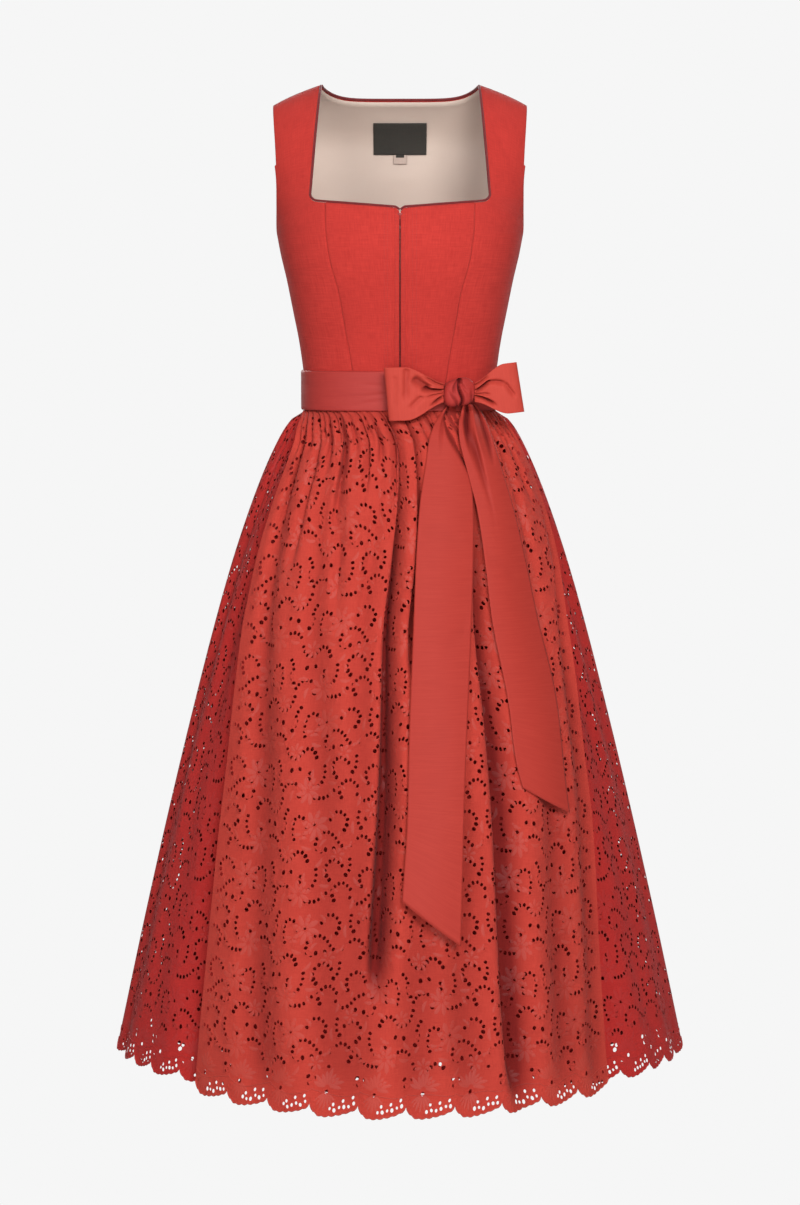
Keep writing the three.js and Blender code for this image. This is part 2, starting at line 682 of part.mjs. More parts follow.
// How deep the small gathers below the band are at height z
const GATHER_DEPTH = [
  { z: -394, depth: 2.6 },
  { z: -418, depth: 3 },
  { z: -457, depth: 8 },
  { z: -520, depth: 7 },
  { z: -600, depth: 3 },
  { z: -700, depth: 0 },
];

// Depth of the large folds at one place across a piece
function foldDepth(folds, share, z) {
  let total = 0;
  for (const fold of folds) {
    const { top, middle, hem } = FOLD_MARKS;
    const place =
      z > middle
        ? lerp(fold.middle, fold.top, (z - middle) / (top - middle))
        : lerp(fold.middle, fold.hem, (middle - z) / (middle - hem));
    const grown = THREE.MathUtils.smoothstep(fold.from - z, 0, FOLD_GROWTH);
    const left = THREE.MathUtils.smoothstep(z - fold.to, 0, FOLD_GROWTH / 2);
    total += fold.depth * grown * left * Math.exp(-(((share - place) / fold.width) ** 2));
  }
  return total;
}

// Evenly spread folds for a stretch of skirt, each with its own place, drift and depth
function spreadFolds(count, depth, width) {
  return Array.from({ length: count }, (_, k) => {
    const place = (k + 0.5 + 0.22 * Math.sin(k * 2.4)) / count;
    const drift = 0.018 * Math.sin(k * 1.7 + 1);
    return {
      top: place - drift,
      middle: place,
      hem: place + drift,
      depth: depth * (1 + 0.3 * Math.sin(k * 3.1)),
      width,
      from: -450 - 60 * (k % 3),
      to: -1500,
    };
  });
}

// A row's gathers, as a share of their depth: crest, flank, trough, flank
function gather(share, count) {
  return (1 - Math.cos(2 * Math.PI * count * share)) / 2;
}

// Scalloped hem: how far the edge drops below the hem line at column j
function scallop(j) {
  return SCALLOP * SCALLOP_STEPS[j % SCALLOP_STEPS.length];
}

// Rows of a gathered piece. section(share, z, inset) gives its outline, inset by the folds. The fine
// rows at the top hold every gather, and below them the gathers merge in pairs.
function gatheredRows(heights, piece) {
  const { section, folds, gathers, fineRows, fineColumns, columns, drop, spread = 1 } = piece;
  return heights.map((z, i) => {
    const count = i < fineRows ? fineColumns : columns;
    const merged = gathers * (i < fineRows || fineColumns === columns ? 1 : 0.5);
    const isHem = i === heights.length - 1;
    const row = { outer: [], inner: [] };
    even(count).forEach((place, j) => {
      const fromMiddle = 2 * place - 1;
      const share = 0.5 + 0.5 * Math.sign(fromMiddle) * Math.abs(fromMiddle) ** spread;
      const depth = at(GATHER_DEPTH, "depth", z) * gather(place, merged) + foldDepth(folds, share, z);
      const here = isHem ? z - scallop(j) - drop : z;
      row.outer.push(section(share, here, depth));
      row.inner.push(section(share, here, depth + LACE));
    });
    return row;
  });
}

const LOWER_HEIGHTS = [-509, -586, -690, -820, -960, -1100, HEM];

function skirtSection(side) {
  return (share, z, inset) => {
    const turn = lerp(-SIDE_SEAM, SIDE_SEAM, share);
    const pressed = side < 0 ? THREE.MathUtils.smoothstep(1.5 - Math.abs(turn), 0, 0.24) : 0;
    const seam = THREE.MathUtils.smoothstep(SIDE_SEAM - Math.abs(turn), 0, 0.12);
    const folded = inset > LACE ? LACE + (inset - LACE) * seam : inset;
    const x = (at(SKIRT, "half", z) - folded - pressed * at(SKIRT, "tuck", z)) * Math.sin(turn);
    const y = (at(SKIRT, side < 0 ? "front" : "back", z) - folded) * Math.cos(turn) + SEAM / 2;
    return new THREE.Vector3(x, side * y, z);
  };
}

// The large eyelets stand in staggered rows below the gathers
function eyeletPattern(firstRow, step, inside) {
  return (i, j) => i >= firstRow && (j + 2 * (i % 2)) % step === 2 && inside(j);
}

function addSkirt() {
  const heights = [SKIRT_TOP, -418, -430, -457, ...LOWER_HEIGHTS];
  const back = gatheredRows(heights, {
    section: skirtSection(1),
    folds: spreadFolds(9, 17, 0.032),
    gathers: GATHERS.skirtBack,
    fineRows: 4,
    fineColumns: 4 * GATHERS.skirtBack,
    columns: 60,
    drop: 0,
  });
  addWall("skirt_back", back, lace, { hasEyelet: eyeletPattern(5, 5, () => true), sides: 4 });

  const sideFolds = [0.06, 0.13, 0.86, 0.945].map((place, k) => ({
    top: place,
    middle: place,
    hem: place,
    depth: 8 + 2 * (k % 2),
    width: 0.02,
    from: -500,
    to: -1500,
  }));
  const columns = 3 * GATHERS.skirtFront;
  const front = gatheredRows(heights, {
    section: skirtSection(-1),
    folds: sideFolds,
    gathers: GATHERS.skirtFront,
    fineRows: 0,
    fineColumns: columns,
    columns,
    drop: 0,
    spread: 0.6,
  });
  const besideApron = (j) => j < 8 || j > columns - 9;
  addWall("skirt_front", front, lace, { hasEyelet: eyeletPattern(5, 3, besideApron), sides: 4 });
}

function apronSection(share, z, inset) {
  const half = at(APRON, "half", z);
  const left = Math.asin(at(APRON, "left", z) / half);
  const right = Math.asin(at(APRON, "right", z) / half);
  const turn = lerp(left, right, share);
  const y = (at(APRON, "front", z) - inset) * Math.cos(turn);
  return new THREE.Vector3((half - inset) * Math.sin(turn), -y, z);
}

function addApron() {
  const rows = gatheredRows([APRON_TOP, -430, -457, ...LOWER_HEIGHTS], {
    section: apronSection,
    folds: APRON_FOLDS,
    gathers: GATHERS.apron,
    fineRows: 3,
    fineColumns: 4 * GATHERS.apron,
    columns: 2 * GATHERS.apron,
    drop: APRON_DROP,
  });
  addWall("apron", rows, lace, { hasEyelet: eyeletPattern(4, 4, () => true) });
}

// Depth of the apron's front at x, on the crests of its folds
function apronFront(x, z) {
  const share = x / at(APRON, "half", z);
  return -at(APRON, "front", z) * Math.sqrt(1 - share * share);
}

const DIAGONAL_REACH = 140; // height over which a streamer's rows turn into its diagonal end

// A ribbon end that hangs in front of the apron, offset clear of its folds, with a soft rounded
// section. knotReach brings its top forward to the knot, and endDrop makes its end diagonal.
function addStreamer(name, table, { offset, knotReach, endDrop }) {
  const top = table[0].z;
  const end = table.at(-1).z;
  const rows = table.map(({ z }) => {
    const nearEnd = THREE.MathUtils.smoothstep(-z, -end - DIAGONAL_REACH, -end);
    const row = { outer: [], inner: [] };
    for (const share of even(4)) {
      const x = lerp(at(table, "left", z), at(table, "right", z), share);
      const here = z - nearEnd * endDrop * share;
      const settle = knotReach * Math.exp((z - top) / 14);
      const swell = 3 * Math.sin(Math.PI * share) + 1.5 * Math.sin(z / 60) * Math.cos(Math.PI * share);
      const y = apronFront(x, here) - offset - settle - swell;
      row.outer.push(new THREE.Vector3(x, y, here));
      row.inner.push(new THREE.Vector3(x, y + TAFFETA, here));
    }
    return row;
  });
  addWall(name, rows, taffeta);
}

// A bow loop: a ribbon that runs from the knot to the tip behind, and back to the knot in front
function addLoop(name, { root, tip, bulge }) {
  const stations = 14;
  const open = 0.35; // angle left open at the knot between the two layers
  const along = new THREE.Vector2(tip.x - root.x, tip.y - root.y);
  const outward = new THREE.Vector2(along.y, -along.x).normalize();
  if (outward.y > 0) outward.negate();
  const plan = (angle) => {
    const share = 0.5 + 0.5 * Math.cos(angle);
    const reach = angle > 0 ? bulge : 0.45 * bulge;
    const p = new THREE.Vector2(root.x, root.y).addScaledVector(along, share);
    return { p: p.addScaledVector(outward, reach * Math.sin(angle)), share };
  };
  const rows = even(stations).map((step) => {
    const angle = lerp(-Math.PI + open, Math.PI - open, step);
    const { p, share } = plan(angle);
    const ahead = plan(angle + 0.02).p.sub(plan(angle - 0.02).p).normalize();
    const inward = new THREE.Vector2(ahead.y, -ahead.x);
    const centre = new THREE.Vector2(root.x, root.y).addScaledVector(along, 0.5);
    if (inward.dot(centre.sub(p)) < 0) inward.negate();
    const spread = THREE.MathUtils.smoothstep(share, 0, 0.8);
    const height = lerp(root.height, tip.height, spread);
    const row = { outer: [], inner: [] };
    for (const s of even(3)) {
      const up = 0.5 - s;
      const z = lerp(root.z, tip.z, share) + up * height;
      const lean = 2 * up * lerp(root.lean, tip.lean, share);
      const outer = new THREE.Vector3(p.x + lean, p.y, z);
      row.outer.push(outer);
      row.inner.push(outer.clone().add(new THREE.Vector3(inward.x, inward.y, 0).multiplyScalar(TAFFETA)));
    }
    return row;
  });
  addWall(name, rows, taffeta);
}

function addBow() {
  const knot = new THREE.SphereGeometry(1, 14, 8);
  const mesh = new THREE.Mesh(knot, taffeta);
  mesh.name = "bow_knot";
  mesh.rotation.z = KNOT.turn;
  mesh.scale.set(KNOT.half, KNOT.depth, KNOT.height);
  mesh.position.set(KNOT.x, KNOT.y, KNOT.z);
  group.add(mesh);
  addLoop("bow_loop_right", RIGHT_LOOP);
  addLoop("bow_loop_left", LEFT_LOOP);
  addStreamer("streamer_long", LONG_STREAMER, { offset: 8, knotReach: 5, endDrop: 55 });
  addStreamer("streamer_short", SHORT_STREAMER, { offset: 3, knotReach: 19, endDrop: 37 });
}

addBodice();
addLining();
addPatch("label", 70, -44, -86, 0.8, 2 * SEAM, labelCloth);
addPatch("size_tab", 18, -86.6, -98, 0.8, 4 * SEAM, labelCloth);
addPipings();
addZip();
addBand("waistband_front", -1);
addBand("waistband_back", 1);
addSkirt();
addApron();
addBow();

export default group;
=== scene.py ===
import math

import bpy
import numpy as np
from mathutils import Matrix, Vector
from mathutils.geometry import delaunay_2d_cdt
from mathutils.kdtree import KDTree


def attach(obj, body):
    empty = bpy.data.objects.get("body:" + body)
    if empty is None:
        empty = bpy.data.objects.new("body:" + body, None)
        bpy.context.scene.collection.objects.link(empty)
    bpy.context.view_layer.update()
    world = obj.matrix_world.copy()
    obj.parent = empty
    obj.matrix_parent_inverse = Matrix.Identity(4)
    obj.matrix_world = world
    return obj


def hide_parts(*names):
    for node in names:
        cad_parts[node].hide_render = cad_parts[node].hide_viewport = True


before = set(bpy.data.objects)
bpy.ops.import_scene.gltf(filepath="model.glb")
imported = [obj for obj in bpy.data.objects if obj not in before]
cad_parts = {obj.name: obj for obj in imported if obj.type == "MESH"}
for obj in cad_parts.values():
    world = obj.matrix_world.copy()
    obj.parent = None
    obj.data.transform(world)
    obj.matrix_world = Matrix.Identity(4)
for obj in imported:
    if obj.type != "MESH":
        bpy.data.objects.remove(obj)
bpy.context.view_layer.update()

# ----------------------------------------
# Camera, floor and light
# A pale studio sweep far below the hem, a large soft key from the front right, and fill all round.
# ----------------------------------------
scene = bpy.context.scene
scene.view_settings.view_transform = "Standard"


def added(name, data):
    """A new object in the scene, at the origin."""
    item = bpy.data.objects.new(name, data)
    scene.collection.objects.link(item)
    return item


camera = added("camera", bpy.data.cameras.new("camera"))
camera.data.lens = 80.877
camera.data.sensor_width = 36
camera.location = (0, -3.5, -0.3)
camera.rotation_euler = (math.radians(90 - 6.002), 0, 0)
scene.camera = camera


def deselect():
    for item in bpy.context.selected_objects:
        item.select_set(False)


def select_only(piece):
    deselect()
    piece.select_set(True)
    bpy.context.view_layer.objects.active = piece


def apply_modifiers(piece):
    select_only(piece)
    for modifier in list(piece.modifiers):
        bpy.ops.object.modifier_apply(modifier=modifier.name)


def finish(name, roughness, metallic=0.0, sheen=0.0, coat=0.0, specular=0.5):
    """A new material with the values of its Principled shader."""
    made = bpy.data.materials.new(name)
    made.use_nodes = True
    sockets = made.node_tree.nodes["Principled BSDF"].inputs
    sockets["Roughness"].default_value = roughness
    sockets["Metallic"].default_value = metallic
    sockets["Sheen Weight"].default_value = sheen
    sockets["Coat Weight"].default_value = coat
    sockets["Specular IOR Level"].default_value = specular
    return made


def srgb(red, green, blue):
    """A colour given as it looks on a screen, 0 to 255, as Blender's linear values."""
    def linear(value):
        value /= 255
        return value / 12.92 if value <= 0.04045 else ((value + 0.055) / 1.055) ** 2.4
    return (linear(red), linear(green), linear(blue), 1)


def shader_node(tree, kind, **inputs):
    """A new shader node, with a value or another node's output for each input that is named."""
    made = tree.nodes.new("ShaderNode" + kind)
    for name, value in inputs.items():
        socket = made.inputs[name.replace("_", " ")]
        if isinstance(value, bpy.types.NodeSocket):
            tree.links.new(value, socket)
        else:
            socket.default_value = value
    return made


def shown_to_camera(tree, lit, shown, surface):
    """Puts one shader before the camera and the other into the light that reaches all the rest."""
    path = shader_node(tree, "LightPath")
    chosen = shader_node(tree, "MixShader", Fac=path.outputs["Is Camera Ray"])
    tree.links.new(lit, chosen.inputs[1])
    tree.links.new(shown, chosen.inputs[2])
    tree.links.new(chosen.outputs["Shader"], surface)


FLOOR_HEIGHT = -1.75
STUDIO_WHITE = srgb(246, 246, 246)
deselect()
bpy.ops.mesh.primitive_plane_add(size=14, location=(0, -1, FLOOR_HEIGHT))
sweep = bpy.context.object
sweep.name = "studio_sweep"
bpy.ops.object.mode_set(mode="EDIT")
bpy.ops.mesh.select_all(action="DESELECT")
bpy.ops.object.mode_set(mode="OBJECT")
for edge in sweep.data.edges:
    edge.select = all(sweep.data.vertices[i].co.y > 0 for i in edge.vertices)
bpy.ops.object.mode_set(mode="EDIT")
bpy.ops.mesh.extrude_region_move(TRANSFORM_OT_translate={"value": (0, 0, 8)})
bpy.ops.object.mode_set(mode="OBJECT")
rounding = sweep.modifiers.new("sweep", "BEVEL")
rounding.width = 2.2
rounding.segments = 16
rounding.limit_method = "ANGLE"
apply_modifiers(sweep)
bpy.ops.object.shade_smooth()
paper = finish("paper", 0.95, specular=0.1)
nodes = paper.node_tree.nodes
shader = nodes["Principled BSDF"]
shader.inputs["Base Color"].default_value = (0.35, 0.35, 0.35, 1)
glow = shader_node(paper.node_tree, "Emission", Color=STUDIO_WHITE)
shown_to_camera(paper.node_tree, shader.outputs["BSDF"], glow.outputs["Emission"],
                nodes["Material Output"].inputs["Surface"])
sweep.data.materials.append(paper)

LIGHTS = [
    # name, place, size in metres, watts
    ("key", (0.95, -3.6, 1.35), 1.7, 133),
    ("fill", (-1.8, -3.4, 0.6), 1.8, 54),
    ("low_front", (0.3, -4.2, -1.0), 1.6, 40),
    ("back_left", (-1.5, 3.4, 0.9), 2.0, 75),
    ("back_right", (1.5, 3.4, 0.9), 2.0, 75),
    ("top", (0, 0.2, 2.6), 2.4, 12),
]
for name, place, size, watts in LIGHTS:
    lamp = added(name, bpy.data.lights.new(name, "AREA"))
    lamp.data.shape = "DISK"
    lamp.data.size = size
    lamp.data.energy = watts
    lamp.location = place
    lamp.rotation_euler = (Vector((0, 0, -0.6)) - Vector(place)).to_track_quat("-Z", "Y").to_euler()
world = bpy.data.worlds.new("studio")
world.use_nodes = True
nodes = world.node_tree.nodes
nodes["Background"].inputs["Color"].default_value = (1, 1, 1, 1)
nodes["Background"].inputs["Strength"].default_value = 0.15
backdrop = shader_node(world.node_tree, "Background", Color=STUDIO_WHITE)
shown_to_camera(world.node_tree, nodes["Background"].outputs["Background"],
                backdrop.outputs["Background"], nodes["World Output"].inputs["Surface"])
scene.world = world


# ----------------------------------------
# Bodice
# Seven panels of slubby coral linen, lined with satin and joined by princess seams: two front
# centres with the zip's placket, two front sides that run up into the straps, two back sides, and
# one back centre with the yoke. All edges are turned in, so each seam lies in a small groove.
# ----------------------------------------
MM = 0.001
LINEN = 1.5
SEAM = 0.3
CORNERS = 2.35  # how squarely the body's outline turns from front to side: 2 is an ellipse
BODICE = [
    # height, half width, depth to the front, depth to the back
    (0, 200, 64, 80), (-36, 194, 70, 88), (-62, 189, 76, 96), (-100, 180, 84, 104),
    (-137, 170, 92, 108), (-164, 163, 102, 110), (-194, 157.5, 112, 108), (-225, 151.5, 116, 104),
    (-250, 145.5, 114, 100), (-290, 137.5, 106, 95), (-328, 130, 97, 90), (-366, 124.5, 90, 84.5),
    (-394, 121.5, 88, 83),
]
BODICE_HEM = -393.7
NECK_POINT, NECK_HALF = -5, 102  # height and half width of the neck at the shoulders
SHOULDER_SLOPE = 26 / 60
SHOULDER_ROLL = 75  # how far down the straps curve over the shoulder
STRAP_EDGE = [(-31, 162), (-50, 160.5), (-62, 159.6), (-85, 158), (-110, 156.9)]
FRONT_PRINCESS = [
    (-156.5, 94), (-175, 93.8), (-194, 93), (-223, 89), (-243, 84.5), (-266, 77.6), (-309, 70),
    (-348, 63), (BODICE_HEM, 56),
]
BACK_PRINCESS = [
    (-121, 153), (-133, 146.5), (-150, 140.5), (-172, 132.5), (-194, 124), (-223, 111),
    (-243, 102), (-266, 92), (-309, 74), (-348, 60), (BODICE_HEM, 46),
]
ARMHOLE_BOTTOM = -194
ARMHOLE_MIDDLE = -110
ARMHOLE_REACH = {-1: 46, 1: 56}


def along(table, column, z):
    """A column of a table of sizes at heights z, on a smooth line through its rows."""
    rows = np.array(table, float)
    heights, values = rows[:, 0], rows[:, column]
    before = np.maximum(np.arange(len(rows)) - 1, 0)
    after = np.minimum(np.arange(len(rows)) + 1, len(rows) - 1)
    slopes = (values[after] - values[before]) / (heights[after] - heights[before])
    z = np.clip(z, heights[-1], heights[0])
    i = np.clip(np.searchsorted(-heights, -z, side="right") - 1, 0, len(rows) - 2)
    span = heights[i + 1] - heights[i]
    t = (z - heights[i]) / span
    rise = t * t * (3 - 2 * t)
    bend = span * t * (1 - t) * ((1 - t) * slopes[i] - t * slopes[i + 1])
    return values[i] * (1 - rise) + values[i + 1] * rise + bend


def ease(value, low, high):
    """Rises softly from 0 at low to 1 at high."""
    t = np.clip((value - low) / (high - low), 0, 1)
    return t * t * (3 - 2 * t)


def bodice_point(turn, z, side, inset=0.0):
    """Points of the bodice, turn away from centre front (side -1) or back (side 1), moved inwards
    by inset."""
    def outer(turn, z):
        half = along(BODICE, 1, z)
        depth = along(BODICE, 2 if side < 0 else 3, z)
        x = half * np.sign(turn) * np.abs(np.sin(turn)) ** (2 / CORNERS)
        shoulder = NECK_POINT - SHOULDER_SLOPE * np.maximum(0, np.abs(x) - NECK_HALF)
        drop = np.clip((shoulder - z) / SHOULDER_ROLL, 0, 1)
        roll = np.sqrt(1 - (1 - drop) ** 2)
        y = depth * roll * np.maximum(0, np.cos(turn)) ** (2 / CORNERS) + SEAM / 2
        return np.stack([x, side * y, z], axis=-1)
    turn, z = np.broadcast_arrays(np.asarray(turn, float), np.asarray(z, float))
    here = outer(turn, z)
    sideways = outer(turn - 0.01, z) - here
    down = outer(turn, z - 0.5) - here
    normal = np.cross(sideways, down)
    normal /= np.linalg.norm(normal, axis=-1, keepdims=True) + 1e-12
    moved = here + normal * (np.asarray(inset, float)[..., None] * side)
    moved[..., 1] = side * np.maximum(side * moved[..., 1], SEAM / 2)
    return moved


def turn_at(x, z):
    """How far round the bodice x is at heights z."""
    return np.sign(x) * np.arcsin(np.minimum(1, np.abs(x) / along(BODICE, 1, z)) ** (CORNERS / 2))


def arm_edge(z, side):
    """Turn of the bodice's outer edge at heights z: strap, then armhole, then side seam."""
    strap = turn_at(along(STRAP_EDGE, 1, z), z)
    cosine = np.clip((ARMHOLE_MIDDLE - z) / (ARMHOLE_MIDDLE - ARMHOLE_BOTTOM), 0, 1)
    reach = ARMHOLE_REACH[side] * np.sqrt(1 - cosine ** 2)
    depth = along(BODICE, 2 if side < 0 else 3, z)
    hole = np.arccos((reach / depth) ** (CORNERS / 2))
    return np.where(z > ARMHOLE_MIDDLE, strap, np.where(z > ARMHOLE_BOTTOM, hole, math.pi / 2))


def positions(mesh):
    found = np.empty(len(mesh.vertices) * 3)
    mesh.vertices.foreach_get("co", found)
    return found.reshape(-1, 3)


def lay_uv(mesh, layer, uv):
    corners = np.empty(len(mesh.loops), int)
    mesh.loops.foreach_get("vertex_index", corners)
    layer.data.foreach_set("uv", uv[corners].ravel())


def mark(piece, name, values):
    """A value for each point of a piece, which its material reads: painted shade, which darkens the
    colour deep in folds, creases and grooves, and rim where it is stitched round an eyelet."""
    attribute = piece.data.attributes.new(name, "FLOAT", "POINT")
    attribute.data.foreach_set("value", values.astype(np.float32))


def smooth(piece):
    for polygon in piece.data.polygons:
        polygon.use_smooth = True


def fitted(piece, made, node=None):
    """Gives a piece its material, hides the model's node that it stands for, if any, and hangs the
    piece on the root body.
    """
    piece.data.materials.append(made)
    if node:
        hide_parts(node)
    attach(piece, "root")
    return piece


def cloth(name, rows, columns, place, flat, thickness, facing=None, painted_shade=None):
    """A sheet of cloth: a grid whose points place(across, down) lays where the cloth hangs, in
    millimetres, with its weave in UV, and a wall of that thickness behind it. facing gives a point
    that the cloth's outside looks away from, at the height of each face's middle."""
    deselect()
    bpy.ops.mesh.primitive_grid_add(x_subdivisions=columns, y_subdivisions=rows, size=1)
    piece = bpy.context.object
    piece.name = piece.data.name = name
    mesh = piece.data
    flat_points = positions(mesh)
    across, down = flat_points[:, 0] + 0.5, 0.5 - flat_points[:, 1]
    mesh.vertices.foreach_set("co", (place(across, down) * MM).ravel())
    lay_uv(mesh, mesh.uv_layers[0], np.stack([across * flat[0], (1 - down) * flat[1]], axis=-1))
    face_out(piece, facing)
    # Painted shade: how much the cloth's colour is darkened in its creases.
    if painted_shade is not None:
        mark(piece, "painted_shade", painted_shade(across, down))
    wall = piece.modifiers.new("wall", "SOLIDIFY")
    wall.thickness = thickness * MM
    wall.offset = -1
    wall.use_even_offset = False
    apply_modifiers(piece)
    smooth(piece)
    return piece


def face_out(piece, facing=None):
    """Turns the faces of a sheet so that they look away from facing, or from the body's middle."""
    mesh = piece.data
    mesh.update()
    centres = np.empty(len(mesh.polygons) * 3)
    normals = np.empty(len(mesh.polygons) * 3)
    mesh.polygons.foreach_get("center", centres)
    mesh.polygons.foreach_get("normal", normals)
    centres, normals = centres.reshape(-1, 3), normals.reshape(-1, 3)
    middle = np.zeros_like(centres) if facing is None else np.array(facing) * MM
    away = (centres - middle) * (1, 1, 0)
    if (away * normals).sum() < 0:
        mesh.flip_normals()


def edge_spaced(across):
    """Columns that stand closer together near both edges, where a seam turns in."""
    return 0.5 - 0.5 * np.cos(math.pi * across)


def seam_roll(share, width):
    """How far a panel's cloth turns in beside its two side seams."""
    depth, reach = 0.8, 1.1
    left = np.exp(-((share * width / reach) ** 2))
    right = np.exp(-(((1 - share) * width / reach) ** 2))
    return depth * (left + right)


# Soft creases pressed into the linen: middle x and height, half length, half width, tilt in degrees
# and depth. They run from the armholes to the bust and across the waist.
BODICE_CREASES = {
    -1: [
        (-118, -214, 26, 5, 28, 0.9), (112, -216, 30, 5, -24, 0.8), (-62, -232, 24, 6, 12, 0.6),
        (58, -238, 26, 6, -10, 0.6), (-98, -322, 18, 5, 16, 0.7), (96, -330, 20, 5, -18, 0.7),
        (-52, -345, 16, 4.5, -10, 0.6), (30, -352, 16, 4, 8, 0.5), (-128, -92, 14, 5, 70, 0.8),
        (130, -84, 16, 5, -68, 0.8), (-104, -262, 20, 6, 40, 0.5), (108, -270, 22, 6, -38, 0.5),
    ],
    1: [
        (-88, -150, 30, 7, 14, 0.9), (84, -158, 28, 7, -12, 0.9), (0, -118, 34, 8, 3, 0.7),
        (-92, -250, 22, 6, 30, 0.8), (96, -256, 24, 6, -28, 0.8), (-40, -330, 26, 5, 6, 1.0),
        (34, -344, 30, 5, -5, 1.0), (-86, -352, 16, 5, 18, 0.7), (90, -348, 16, 5, -16, 0.7),
        (2, -300, 22, 6, 0, 0.6),
    ],
}


def creased(points, creases):
    """Depth of the creases at points."""
    total = np.zeros(len(points))
    for x, z, length, width, tilt, depth in creases:
        angle = math.radians(tilt)
        dx, dz = points[:, 0] - x, points[:, 2] - z
        forward = dx * math.cos(angle) + dz * math.sin(angle)
        sideways = -dx * math.sin(angle) + dz * math.cos(angle)
        total += depth * np.exp(-((forward / length) ** 2) - (sideways / width) ** 2)
    return total


PLACKET_GROOVES = [(8, 1.5), (12, 0.6)]  # distance from the middle and depth


def panel(name, stations, inner, outer, side, flat, rows, columns, mirrored, top=None):
    """A bodice panel between two edges, which give the turn at a height. Stations pair the heights
    of the two edges from the top down. top gives the height of its upper edge at each x."""
    stations = np.array(stations, float)
    marks = np.linspace(0, 1, len(stations))

    def place(across, down):
        share = edge_spaced(across)
        inner_z = np.interp(down, marks, stations[:, 0])
        outer_z = np.interp(down, marks, stations[:, 1])
        turn = inner(inner_z) * (1 - share) + outer(outer_z) * share
        z = inner_z * (1 - share) + outer_z * share
        if top is not None:
            x = np.abs(bodice_point(turn, z, side)[:, 0])
            z = z + (top(x) - stations[0, 0]) * np.exp(-down * 14)
        first = bodice_point(turn, z, side)
        if mirrored:
            first[:, 0] *= -1
        depth = creased(first, BODICE_CREASES[side]) + seam_roll(share, flat[0] * 1000)
        if top is not None:
            x = np.abs(first[:, 0])
            for groove, sunk in PLACKET_GROOVES:
                depth = depth + sunk * np.exp(-(((x - groove) / 0.9) ** 2))
        made = bodice_point(turn, z, side, depth)
        if mirrored:
            made[:, 0] *= -1
        return made

    piece = cloth(name + "_linen", rows, columns, place, flat, LINEN)
    fitted(piece, linen, name)


def arithmetic(tree, operation, *values):
    made = tree.nodes.new("ShaderNodeMath")
    made.operation = operation
    for socket, value in zip(made.inputs, values):
        if isinstance(value, (int, float)):
            socket.default_value = value
        else:
            tree.links.new(value, socket)
    return made.outputs[0]


def stretched(tree, vector, scale):
    return shader_node(tree, "Mapping", Vector=vector, Scale=scale).outputs[0]


def cloud(tree, vector, scale, detail=2.0):
    return shader_node(tree, "TexNoise", Vector=vector, Scale=scale, Detail=detail).outputs["Fac"]


# Woven cloth in its UV metres: threads both ways, with thicker slubs along each. Height is for a
# bump and Tone for the colour.
weave = bpy.data.node_groups.new("weave", "ShaderNodeTree")
weave.interface.new_socket("Cloth", in_out="INPUT", socket_type="NodeSocketVector")
for socket in ("Threads", "Slubs"):
    weave.interface.new_socket(socket, in_out="INPUT", socket_type="NodeSocketFloat")
for socket in ("Height", "Tone"):
    weave.interface.new_socket(socket, in_out="OUTPUT", socket_type="NodeSocketFloat")
given, put = weave.nodes.new("NodeGroupInput"), weave.nodes.new("NodeGroupOutput")
axes = weave.nodes.new("ShaderNodeSeparateXYZ")
weave.links.new(given.outputs["Cloth"], axes.inputs[0])
threads = []
for axis in ("X", "Y"):
    turns = arithmetic(weave, "MULTIPLY", axes.outputs[axis], given.outputs["Threads"])
    wave = arithmetic(weave, "SINE", arithmetic(weave, "MULTIPLY", turns, 2 * math.pi))
    threads.append(wave)
warp_slubs = cloud(weave, stretched(weave, given.outputs["Cloth"], (900, 60, 1)), 1.0)
weft_slubs = cloud(weave, stretched(weave, given.outputs["Cloth"], (60, 900, 1)), 1.0)
slubs = arithmetic(weave, "ADD", warp_slubs, weft_slubs)
slubs = arithmetic(weave, "SUBTRACT", slubs, 1.0)
slubs = arithmetic(weave, "MULTIPLY", slubs, given.outputs["Slubs"])
crossing = arithmetic(weave, "MULTIPLY", threads[0], threads[1])
height = arithmetic(weave, "MULTIPLY_ADD", crossing, 0.35, slubs)
weave.links.new(height, put.inputs["Height"])
patches = cloud(weave, given.outputs["Cloth"], 14.0, 3.0)
patches = arithmetic(weave, "MULTIPLY_ADD", patches, 0.5, -0.25)
weave.links.new(arithmetic(weave, "ADD", slubs, patches), put.inputs["Tone"])


def base_colour(made):
    return made.node_tree.nodes["Principled BSDF"].inputs["Base Color"]


def mix(tree, blend_type, factor, first, second):
    """Mixes two colours, each a value or another node's output."""
    blend = tree.nodes.new("ShaderNodeMix")
    blend.data_type = "RGBA"
    blend.blend_type = blend_type
    tree.links.new(factor, blend.inputs["Factor"])
    for socket, value in ((blend.inputs["A"], first), (blend.inputs["B"], second)):
        if isinstance(value, bpy.types.NodeSocket):
            tree.links.new(value, socket)
        else:
            socket.default_value = value
    return blend.outputs["Result"]


def two_tone(made, factor, dark, light):
    """A base colour that runs from dark to light with the factor."""
    tree = made.node_tree
    tree.links.new(mix(tree, "MIX", factor, dark, light), base_colour(made))


def embossed(made, height, strength, distance):
    """A bump of that height over the whole piece."""
    tree = made.node_tree
    relief = shader_node(tree, "Bump", Strength=strength, Distance=distance, Height=height)
    tree.links.new(relief.outputs["Normal"], tree.nodes["Principled BSDF"].inputs["Normal"])


def tinted(made, name, blend_type, colour):
    """Tints the base colour where the piece is marked with name."""
    tree = made.node_tree
    marked = tree.nodes.new("ShaderNodeAttribute")
    marked.attribute_name = name
    before = base_colour(made).links[0].from_socket
    after = mix(tree, blend_type, marked.outputs["Fac"], before, colour)
    tree.links.new(after, base_colour(made))


